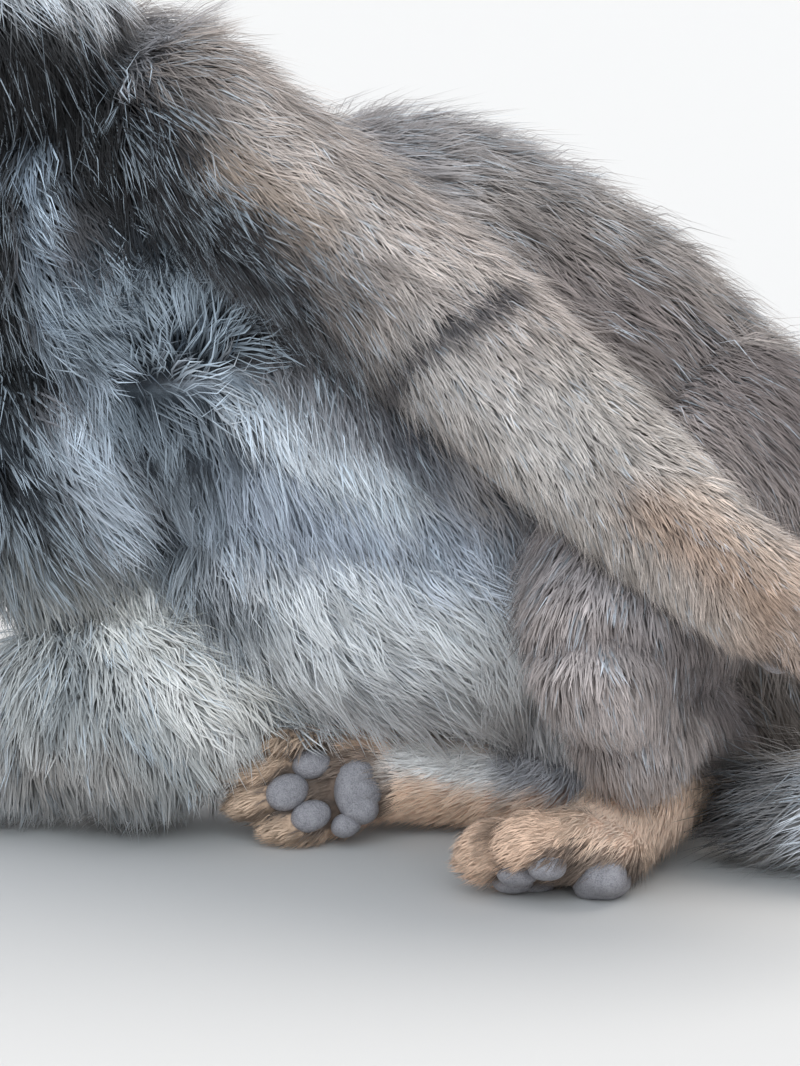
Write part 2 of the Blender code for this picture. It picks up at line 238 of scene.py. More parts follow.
def closed_grid(points):
    """Vertices and triangles of a grid of rings, closed by a point at the middle of each end ring."""
    rows, cols = points.shape[:2]
    verts = np.concatenate((points.reshape(-1, 3), points[0].mean(0)[None], points[-1].mean(0)[None]))
    i = np.arange(cols)
    j, n, last = (i + 1) % cols, rows * cols, (rows - 1) * cols
    start = np.stack((np.full(cols, n), j, i), -1)
    end = np.stack((np.full(cols, n + 1), last + i, last + j), -1)
    return verts, np.concatenate((grid_triangles(rows, cols), start, end))


def around(cols):
    """So many even steps of angle round a circle."""
    return np.linspace(0, 2 * math.pi, cols, endpoint=False)


def ball_angles(rows, cols):
    """Angles from pole to pole, down a column and without the poles, and round the ball, along a row."""
    return np.linspace(0, math.pi, rows + 2)[1:-1, None], around(cols)[None]


def ellipsoid(centre, radii, turn, rows=16, cols=24):
    """centre + radii * (sin a cos b, sin a sin b, cos a), with a from pole to pole and b around."""
    a, b = ball_angles(rows, cols)
    ball = np.stack((np.sin(a) * np.cos(b), np.sin(a) * np.sin(b), np.cos(a) + 0 * b), -1)
    return closed_grid(np.asarray(centre) + (ball * np.asarray(radii)) @ turn)


def smooth_path(points, values, steps):
    """Catmull-Rom through the points, with the values carried along."""
    full = np.column_stack((np.asarray(points, float), np.asarray(values, float)))
    ends = np.vstack((2 * full[0] - full[1], full, 2 * full[-1] - full[-2]))
    t = np.linspace(0, 1, steps, endpoint=False)[:, None]
    out = []
    for k in range(len(full) - 1):
        p0, p1, p2, p3 = ends[k : k + 4]
        square, cube = 2 * p0 - 5 * p1 + 4 * p2 - p3, 3 * p1 - p0 - 3 * p2 + p3
        out.append(0.5 * (2 * p1 + (p2 - p0) * t + square * t**2 + cube * t**3))
    full = np.vstack((*out, full[-1:]))
    return full[:, :3], full[:, 3:]


def tube(points, radii, cols=24, steps=8):
    """Rings of the given radius square to a smooth path, closed by half balls at both ends."""
    path, size = smooth_path(points, np.asarray(radii)[:, None], steps)
    size = size[:, 0]
    way = unit(np.gradient(path, axis=0))
    cap = np.linspace(0, 1, 7)[1:-1]
    lift = np.sin(cap * math.pi / 2)
    starts = path[0] - way[0] * size[0] * lift[::-1, None]
    ends = path[-1] + way[-1] * size[-1] * lift[:, None]
    round_off = np.sqrt(1 - lift**2)
    path = np.vstack((starts, path, ends))
    size = np.concatenate((size[0] * round_off[::-1], size, size[-1] * round_off))
    way = np.vstack((np.repeat(way[:1], len(cap), 0), way, np.repeat(way[-1:], len(cap), 0)))
    side = unit(np.cross(way, ASIDE))
    other = np.cross(way, side)
    b = around(cols)[None, :, None]
    ring = side[:, None] * np.cos(b) + other[:, None] * np.sin(b)
    return closed_grid(path[:, None] + ring * size[:, None, None])


def new_mesh(name, verts, tris):
    """A smooth mesh from arrays of vertices and triangles."""
    mesh = bpy.data.meshes.new(name)
    mesh.vertices.add(len(verts))
    mesh.vertices.foreach_set("co", np.ascontiguousarray(verts, np.float32).ravel())
    mesh.loops.add(3 * len(tris))
    mesh.loops.foreach_set("vertex_index", np.ascontiguousarray(tris, np.int32).ravel())
    mesh.polygons.add(len(tris))
    mesh.polygons.foreach_set("loop_start", np.arange(0, 3 * len(tris), 3, dtype=np.int32))
    mesh.polygons.foreach_set("use_smooth", np.ones(len(tris), bool))
    mesh.update(calc_edges=True)
    return mesh


def joined(parts):
    """Several (vertices, triangles) as one."""
    verts, tris, count = [], [], 0
    for v, t in parts:
        verts.append(v)
        tris.append(t + count)
        count += len(v)
    return np.concatenate(verts), np.concatenate(tris)


def outward(mesh):
    """Turns all faces outwards."""
    form = bmesh.new()
    form.from_mesh(mesh)
    bmesh.ops.recalc_face_normals(form, faces=form.faces)
    form.to_mesh(mesh)
    form.free()


def linked(name, data):
    """A new object of the scene."""
    obj = bpy.data.objects.new(name, data)
    bpy.context.scene.collection.objects.link(obj)
    return obj


def add_piece(name, mesh, made):
    """A mesh as a piece of the cat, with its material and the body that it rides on."""
    obj = linked(name, mesh)
    mesh.materials.append(made)
    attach(obj, "root")
    return obj


def closed_piece(name, form, slot, made, **paint):
    """A piece from closed vertices and triangles, turned outwards, with colours by their layer's name."""
    mesh = new_mesh(name, *form)
    for layer, colours in paint.items():
        paint_attribute(mesh, layer, colours)
    outward(mesh)
    return add_piece(name, mesh, made)


def paint_attribute(mesh, name, colours):
    """Colours by vertex, as a layer that materials can read."""
    layer = mesh.color_attributes.new(name, "FLOAT_COLOR", "POINT")
    full = np.ones((len(colours), 4), np.float32)
    full[:, :3] = colours
    layer.data.foreach_set("color", full.ravel())


def fused(parts, size, rounds):
    """The parts as one closed skin of even faces of this size in mm, eased by rounds of smoothing."""
    obj = linked("fuse", new_mesh("fuse", *joined(parts)))
    fuse = obj.modifiers.new("fuse", "REMESH")
    fuse.mode = "VOXEL"
    fuse.voxel_size = size * MM
    ease = obj.modifiers.new("ease", "SMOOTH")
    ease.factor = 0.5
    ease.iterations = rounds
    graph = bpy.context.evaluated_depsgraph_get()
    graph.update()
    mesh = bpy.data.meshes.new_from_object(obj.evaluated_get(graph))
    old = obj.data
    bpy.data.objects.remove(obj)
    bpy.data.meshes.remove(old)
    verts, tris = arrays_of(mesh)
    bpy.data.meshes.remove(mesh)
    return verts, tris


def arrays_of(mesh):
    """Vertices and triangles of a mesh."""
    verts = np.empty(len(mesh.vertices) * 3, np.float32)
    mesh.vertices.foreach_get("co", verts)
    mesh.calc_loop_triangles()
    tris = np.empty(len(mesh.loop_triangles) * 3, np.int32)
    mesh.loop_triangles.foreach_get("vertices", tris)
    return verts.reshape(-1, 3).astype(float), tris.reshape(-1, 3)


def normals_of(verts, tris):
    """Each vertex's normal: the sum of its triangles' normals by area."""
    a, b, c = (verts[tris[:, k]] for k in range(3))
    face = np.cross(b - a, c - a)
    total = np.zeros_like(verts)
    for k in range(3):
        for axis in range(3):
            total[:, axis] += np.bincount(tris[:, k], face[:, axis], len(verts))
    return unit(total)


def ripple(points, size, seed):
    """Smooth random values from about -1 to 1: a sum of waves of about this size in random directions."""
    rng = np.random.default_rng(seed)
    ways = unit(rng.normal(size=(7, 3))) * (2 * math.pi / size) * rng.uniform(0.6, 1.5, (7, 1))
    waves = np.sin(points @ ways.T + rng.uniform(0, 6.28, 7))
    return waves.sum(1) / 3.2


def fade(value, edge, full):
    """0 at edge, 1 at full, and 3 t squared less 2 t cubed at the share t of the way between."""
    t = np.clip((value - edge) / (full - edge), 0, 1)
    return t * t * (3 - 2 * t)


def blend(a, b, share):
    """a where the share is 0, b where it is 1, and straight between."""
    return a + (b - a) * np.asarray(share)[..., None]


# ---- seen from the front

FIELD_MIDDLE = 98.6  # mm from the near foot up to the middle of the view
VIEW_WAY = np.array((0, math.cos(VIEW_LIFT), -math.sin(VIEW_LIFT)))
VIEW_UP = np.array((0, math.sin(VIEW_LIFT), math.cos(VIEW_LIFT)))
VIEW_TARGET = spot((0, 20, (FIELD_MIDDLE - 20 * math.sin(VIEW_LIFT)) / math.cos(VIEW_LIFT)))


def front(points):
    """Where points lie seen from the belly side: mm right of the middle, and mm above the near foot."""
    off = points - VIEW_TARGET
    scale = VIEW_DISTANCE / (VIEW_DISTANCE + off @ VIEW_WAY) / MM
    return np.stack((off[:, 0] * scale, (off @ VIEW_UP) * scale + FIELD_MIDDLE), -1)


def line_distance(points, path):
    """Distance to the nearest part of a line of points, in any number of dimensions."""
    best = np.full(len(points), 1e9)
    path = np.asarray(path, float)
    for a, b in zip(path[:-1], path[1:]):
        ab = b - a
        t = np.clip((points - a) @ ab / max(ab @ ab, 1e-12), 0, 1)
        best = np.minimum(best, np.linalg.norm(points - a - t[:, None] * ab, axis=1))
    return best


def stroke(place, path, width):
    """1 along the line, and less away from it, by the bell curve exp(-(distance / width) squared)."""
    return np.exp(-((line_distance(place, path) / width) ** 2))


# ---- colours


def tone(red, green, blue):
    """A colour given as 0 to 255 on screen, as linear light."""
    c = np.array((red, green, blue)) / 255
    return np.where(c <= 0.04045, c / 12.92, ((c + 0.055) / 1.055) ** 2.4)


TAUPE, GREIGE, FROST = tone(104, 97, 94), tone(164, 156, 151), tone(206, 221, 234)
FACE_GREY = tone(158, 149, 142)


class Hair:
    """Colours of a coat at root and tip, by vertex, laid one over the other."""

    def __init__(self, size, root, tip):
        self.root, self.tip = np.tile(root, (size, 1)), np.tile(tip, (size, 1))

    def lay(self, mask, root, tip):
        """Lays colours, given as 0 to 255 on screen, as strongly as the mask says."""
        self.root, self.tip = blend(self.root, tone(*root), mask), blend(self.tip, tone(*tip), mask)


# ---- skin, with its fields

# Each bone: region, number in its path, both ends, and outline and length of hair at the ends
BONES = [
    (region, k, start, end, outline[k : k + 2], hair[k : k + 2])
    for region, (points, outline, _, hair) in PATHS.items()
    for k, (start, end) in enumerate(zip(spot(points)[:-1], spot(points)[1:]))
]
REGIONS = [*PATHS, "head"]
BONE_REGION = np.array([REGIONS.index(region) for region, *_ in BONES])
BONE_NUMBER = np.array([k for _, k, *_ in BONES])
BONE_COUNT = np.bincount(BONE_REGION)[BONE_REGION]
BODY = ("trunk", "belly", "chest", "neck", "ruff")
UNDER = (*BODY, "leg_right", "arm_right")
LOW = ("arm_right", "belly", "chest", "trunk")
ARM, LEG, FAR_LEG = ("arm_left",), ("leg_left",), ("leg_right",)
work = {}
SEEN_AT = 0.66  # share of a lock's length where its marking is looked up: the middle of what shows of it
SKIN_TONE, FOOT_TONE = 0.28, 0.45  # bare skin, from the colour of the roots to that of the tips
# Size of the skin's faces in mm, and rounds of smoothing
BODY_FACES, PAW_FACES, HEAD_FACES = (2.5, 4), (1.3, 3), (1.25, 5)
# mm that skin, and hair and pads, keep off the floor, and that locks and bristles start under the skin
SKIN_OFF, HAIR_OFF, LOCK_ROOT, BRISTLE_ROOT = 1.2, 0.3, 0.6, 0.5
PAW_COAT = 3  # mm of coat on the paws
# Toes of every paw: place across the ball in mm, and lead ahead of it over the length of the toes
TOES = ((-12.6, 0.5), (-4.4, 0.76), (4.4, 0.76), (12.6, 0.5))
CREASES = (-8.5, 0.0, 8.5)  # lines between the toes, where shade is painted, across the ball in mm
FROSTED = 0.12  # share of pale hairs where no marking says otherwise


def among(region, names):
    """Whether each point's region is one of the names."""
    return np.isin(region, [REGIONS.index(name) for name in names])


def bone_fields(points):
    """For each point: the nearest path by distance over radius, how far along it, and its way and hair."""
    scores, ways, hair, share = [], [], [], []
    for region, k, a, b, outline, long in BONES:
        ab = b - a
        past = (points - a) @ ab / (ab @ ab)
        t = np.clip(past, 0, 1)
        gap = np.linalg.norm(points - a - t[:, None] * ab, axis=1)
        score = gap / ((outline[0] + (outline[1] - outline[0]) * t) * MM)
        if k == 0 and region.startswith(("arm", "leg")):
            # the round top of a limb carries the hair of the trunk
            score = score + 0.5 * np.clip(0.12 - past, 0, 1) * np.linalg.norm(ab) / (outline[0] * MM)
        scores.append(score)
        ways.append(unit(ab))
        hair.append(long[0] + (long[1] - long[0]) * t)
        share.append(t)
    scores = np.stack(scores, 1)
    weight = np.exp(-(scores - scores.min(1, keepdims=True)) * 14)
    weight /= weight.sum(1, keepdims=True)
    near = scores.argmin(1)
    share = np.take_along_axis(np.stack(share, 1), near[:, None], 1)[:, 0]
    return {
        "bone": near,
        "region": BONE_REGION[near],
        "along": (BONE_NUMBER[near] + share) / BONE_COUNT[near],
        "way": weight @ np.array(ways),
        "hair": (weight * np.stack(hair, 1)).sum(1),
    }


def paw_parts():
    """Palms and toes, as deep as the skin lies in the solids."""
    parts = []
    for ball, turn, toe_length, flat, spread in PAWS.values():
        side, ahead, back = turn
        palm = np.array((16.5 * spread, 18, flat)) - PAW_COAT
        parts.append(ellipsoid(spot(ball), palm * MM, turn))
        web = np.array((16.2 * spread, 13, flat * 0.85)) - PAW_COAT
        parts.append(ellipsoid(spot(ball + ahead * toe_length * 0.36), web * MM, turn))
        for place, lead in TOES:
            tip = ball + side * place * spread + ahead * lead * toe_length - back * 0.6
            toe = np.array((5.6 * spread, 10.8, 7.9))
            parts.append(ellipsoid(spot(tip), toe * MM, turn, 14, 20))
            knuckle = ball + side * place * 0.86 * spread + ahead * (lead * toe_length - 10) + back * 2.4
            parts.append(ellipsoid(spot(knuckle), np.array((5.2 * spread, 9, 6.4)) * MM, turn, 12, 16))
    for region in ("arm_left", "arm_right", "leg_left", "leg_right"):
        points, outline, depth, _ = PATHS[region]
        size = np.array(outline) - np.array(depth)
        wrist = points[4] + (points[5] - points[4]) * 0.35
        parts.append(tube(spot((wrist, points[5])), (size[4] * 0.9 * MM, size[5] * MM)))
    return parts


def body_parts():
    """Tubes along the bones and swellings, each smaller than its solid by the coat's depth."""
    parts = []
    for region, (points, outline, depth, _) in PATHS.items():
        if region in ("belly", "chest", "ruff"):
            continue
        size = np.array(outline) - np.array(depth)
        if region.startswith(("arm", "leg")):
            points, size = points[:-1], size[:-1]
        parts.append(tube(spot(points), size * MM))
    for centre, radii, depth in SWELLINGS:
        parts.append(ellipsoid(spot(centre), (np.array(radii) - depth) * MM, np.eye(3)))
    return parts


# Bridge of the nose in the head's axes: points, radii and depth of coat
BRIDGE = (((0, 19, 20), (0, 26.5, 12), (0, 34, 6), (0, 41, 0.8), (0, 46, -3)), (12, 11, 9.2, 7.6, 5.8), 1.4)


def head_forms(slack=0):
    """The place and half sizes of each form of the skin of the head, made smaller by slack in mm."""
    for centre, radii, depth, paired in HEAD_FORMS:
        for side in (-1, 1) if paired else (1,):
            yield spot(in_head(side * centre[0], *centre[1:])), (np.array(radii) - depth - slack) * MM


def head_parts():
    """The forms of the skull, cheeks and muzzle, and the bridge of the nose."""
    points, outline, depth = BRIDGE
    bridge = tube(spot([in_head(*p) for p in points]), (np.array(outline) - depth) * MM)
    return [bridge, *(ellipsoid(place, size, HEAD_AXES, 24, 32) for place, size in head_forms())]


def inside_head(points, slack):
    """Whether points lie in one of the head's forms, made smaller by its coat and slack."""
    inside = np.zeros(len(points), bool)
    for place, size in head_forms(slack):
        inside |= ((((points - place) @ HEAD_AXES.T) / size) ** 2).sum(1) < 1
    return inside


def eye_opening(angle, side):
    """Half angle of the gap between the lids, by the angle round the gaze from the head's right.

    A rounded almond with its outer corner raised: 1 over the p-norm of cosine over half width and sine over
    half height.
    """
    angle = angle - side * math.radians(3)
    across, up = np.abs(np.cos(angle)), np.sin(angle)
    outer = np.cos(angle) * side > 0
    tall = np.where(up > 0, 37.0, 33.0)
    wide = np.where(outer, 48.0, 51.0)
    power = np.where(outer, 1.95, 1.75)
    return ((across / wide) ** power + (np.abs(up) / tall) ** power) ** (-1 / power)


def eye_frames():
    """Each eye's name, side, centre and axes: to the head's right, along the gaze, and up."""
    for word, side in (("left", -1), ("right", 1)):
        centre = spot(in_head(side * EYE_PLACE[0], *EYE_PLACE[1:]))
        gaze = np.array((side * 0.32, 1.0, 0.02)) @ HEAD_AXES
        yield word, side, centre, axes(gaze, HEAD_AXES[2])


def round_eye(points, side, centre, turn):
    """Points in an eye's axes, how far off they are, their angle off the gaze, and the lids' angle there."""
    local = (points - centre) @ turn.T
    far = np.linalg.norm(local, axis=1)
    off = np.degrees(np.arccos(np.clip(local[:, 1] / np.maximum(far, 1e-9), -1, 1)))
    return local, far, off, eye_opening(np.arctan2(local[:, 2], local[:, 0]), side)


def lid_gap(points):
    """Degrees from each point to the edge of the nearer eye's opening, as the eye's centre sees it."""
    best = np.full(len(points), 180.0)
    for _, *eye in eye_frames():
        _, far, off, gap = round_eye(points, *eye)
        best = np.where(far < 1.35 * EYE_RADIUS * MM, np.minimum(best, off - gap), best)
    return best


def clear_eyes(verts):
    """Draws the skin to a ball round each eye: just over it for the lids, and under it where they open."""
    for _, side, centre, turn in eye_frames():
        local, far, off, gap = round_eye(verts, side, centre, turn)
        share = fade(off, gap + 58, gap + 14) * fade(far, 1.6 * EYE_RADIUS * MM, 1.25 * EYE_RADIUS * MM)
        goal = (EYE_RADIUS - 1.8 + 2.9 * fade(off, gap + 1, gap + 9)) * MM
        new = far + (goal - far) * share
        new = np.where(off > gap + 9, np.maximum(new, (EYE_RADIUS + 0.7) * MM), new)
        verts = centre + (local * (new / np.maximum(far, 1e-9))[:, None]) @ turn
    return verts


# Combing: where it is from the front, how far it reaches, which way the hair goes there (or the point that
# it spreads from), how strongly, and how long the hair is against the usual
COMBING = (
    ((-64, 156), (25.2, 15.3), (-64, 123), True, 2.4, 1.35),  # fan on the chest, tips up
    ((-22, 122), (26.0, 11.5), (0.8, -0.6), False, 1.1, 1.0),  # pale band
    ((-99, 124), (19.2, 46.6), (0.72, -0.7), False, 1.0, 1.15),  # strands that run down to the pale ridge
    ((-71, 91), (11.0, 24.7), (0.45, -0.9), False, 0.9, 1.0),  # ridge
    ((-55, 116), (15.1, 15.1), (0.45, -0.9), False, 0.8, 1.0),  # below the fan
    ((-8, 97), (24.7, 16.4), (0.35, -0.9), False, 0.7, 0.9),  # belly
    ((0, 64), (30.1, 13.7), (0.95, -0.3), False, 0.9, 0.9),  # groin
    ((-85, 47), (35.6, 30.1), (0.2, -1.0), False, 1.3, 1.15),  # elbow
    ((-106, 80), (16.4, 16.4), (0.1, -1.0), False, 1.2, 1.6),  # strands over the elbow
    ((-49, 42), (16.4, 16.4), (0.6, -0.8), False, 0.8, 0.9),  # right edge of the elbow
    ((-25, 146), (24.7, 16.4), (0.35, -0.95), False, 0.8, 1.15),  # long hair under the upper arm
    ((-77, 220), (30.1, 19.2), (0.75, -0.6), False, 0.7, 1.2),  # shoulder
    ((55, 67), (30.1, 35.6), (0.12, -1.0), False, 2.2, 0.9),  # front of the knee
    ((93, 143), (30.1, 27.4), (0.62, -0.78), False, 2.0, 1.0),  # haunch
    ((66, 53), (16.4, 16.4), (0.3, -0.95), False, 0.7, 1.0),  # shin
)


def feet(fields):
    """1 on the feet and 0 above the wrist or hock."""
    region, way = fields["region"], fields["along"]
    hind, fore = among(region, LEG + FAR_LEG), among(region, ("arm_left", "arm_right"))
    return hind * fade(way, 0.6, 0.7) + fore * fade(way, 0.7, 0.8)


def laid_flat(flow, normals):
    """Ways made square to the skin."""
    return unit(flow - (flow * normals).sum(1, keepdims=True) * normals)


def body_flow(points, normals, fields):
    """The way the hair lies: along the bones, down with gravity, combed, and always square to the skin."""
    flow = fields["way"] + 0
    on_trunk = among(fields["region"], BODY)
    flow[:, 2] -= np.where(on_trunk, 0.45, 0.15)
    place = front(points)
    facing = fade(-normals @ VIEW_WAY, 0.0, 0.45) * (1 - feet(fields))
    length = np.ones(len(points))
    for centre, reach_out, aim, spreads, strength, longer in COMBING:
        mask = np.exp(-(((place - centre) / reach_out) ** 2).sum(1)) * facing
        aim = unit(place - aim) if spreads else np.tile(unit(np.array(aim)), (len(points), 1))
        goal = aim[:, :1] * np.array((1, 0, 0)) + aim[:, 1:] * VIEW_UP
        flow = blend(flow, goal, np.clip(mask * strength, 0, 1))
        length = length * (1 + (longer - 1) * mask)
    sway = 0.32 * ripple(points, 0.05, 11) + 0.22 * ripple(points, 0.021, 12)
    sway = np.where(on_trunk, sway, sway * 0.45)
    flow = laid_flat(flow, normals)
    return unit(flow + np.cross(normals, flow) * sway[:, None]), length


def head_flow(points, normals):
    """From the tip of the nose backwards over the face, and down the cheeks."""
    local = (points - spot(HEAD)) @ HEAD_AXES.T / MM
    out = local - np.array((0, 52, -6))
    goal = unit(out)
    goal[:, 1] -= 0.5
    goal[:, 2] -= 0.5 * fade(-local[:, 2], 0, 18) + 1.3 * fade(-local[:, 1], 8, 32)
    return laid_flat(goal @ HEAD_AXES, normals), local


def head_hair(local):
    """Length of hair on the head in mm: shortest on the nose, longest on the cheek ruffs."""
    x, y, z = np.abs(local[:, 0]), local[:, 1], local[:, 2]
    hair = 7.5 - 5.0 * fade(y, 20, 44)
    hair = hair + 12 * fade(x, 20, 36) * fade(-z, 0, 18) * fade(-y, -14, 6)
    hair = hair + 9 * fade(-z, 18, 32) * fade(-y, -30, -8)
    return hair + 4 * fade(-y, 0, 30) + 8 * fade(-y, 16, 36) * fade(-z, -14, 8)
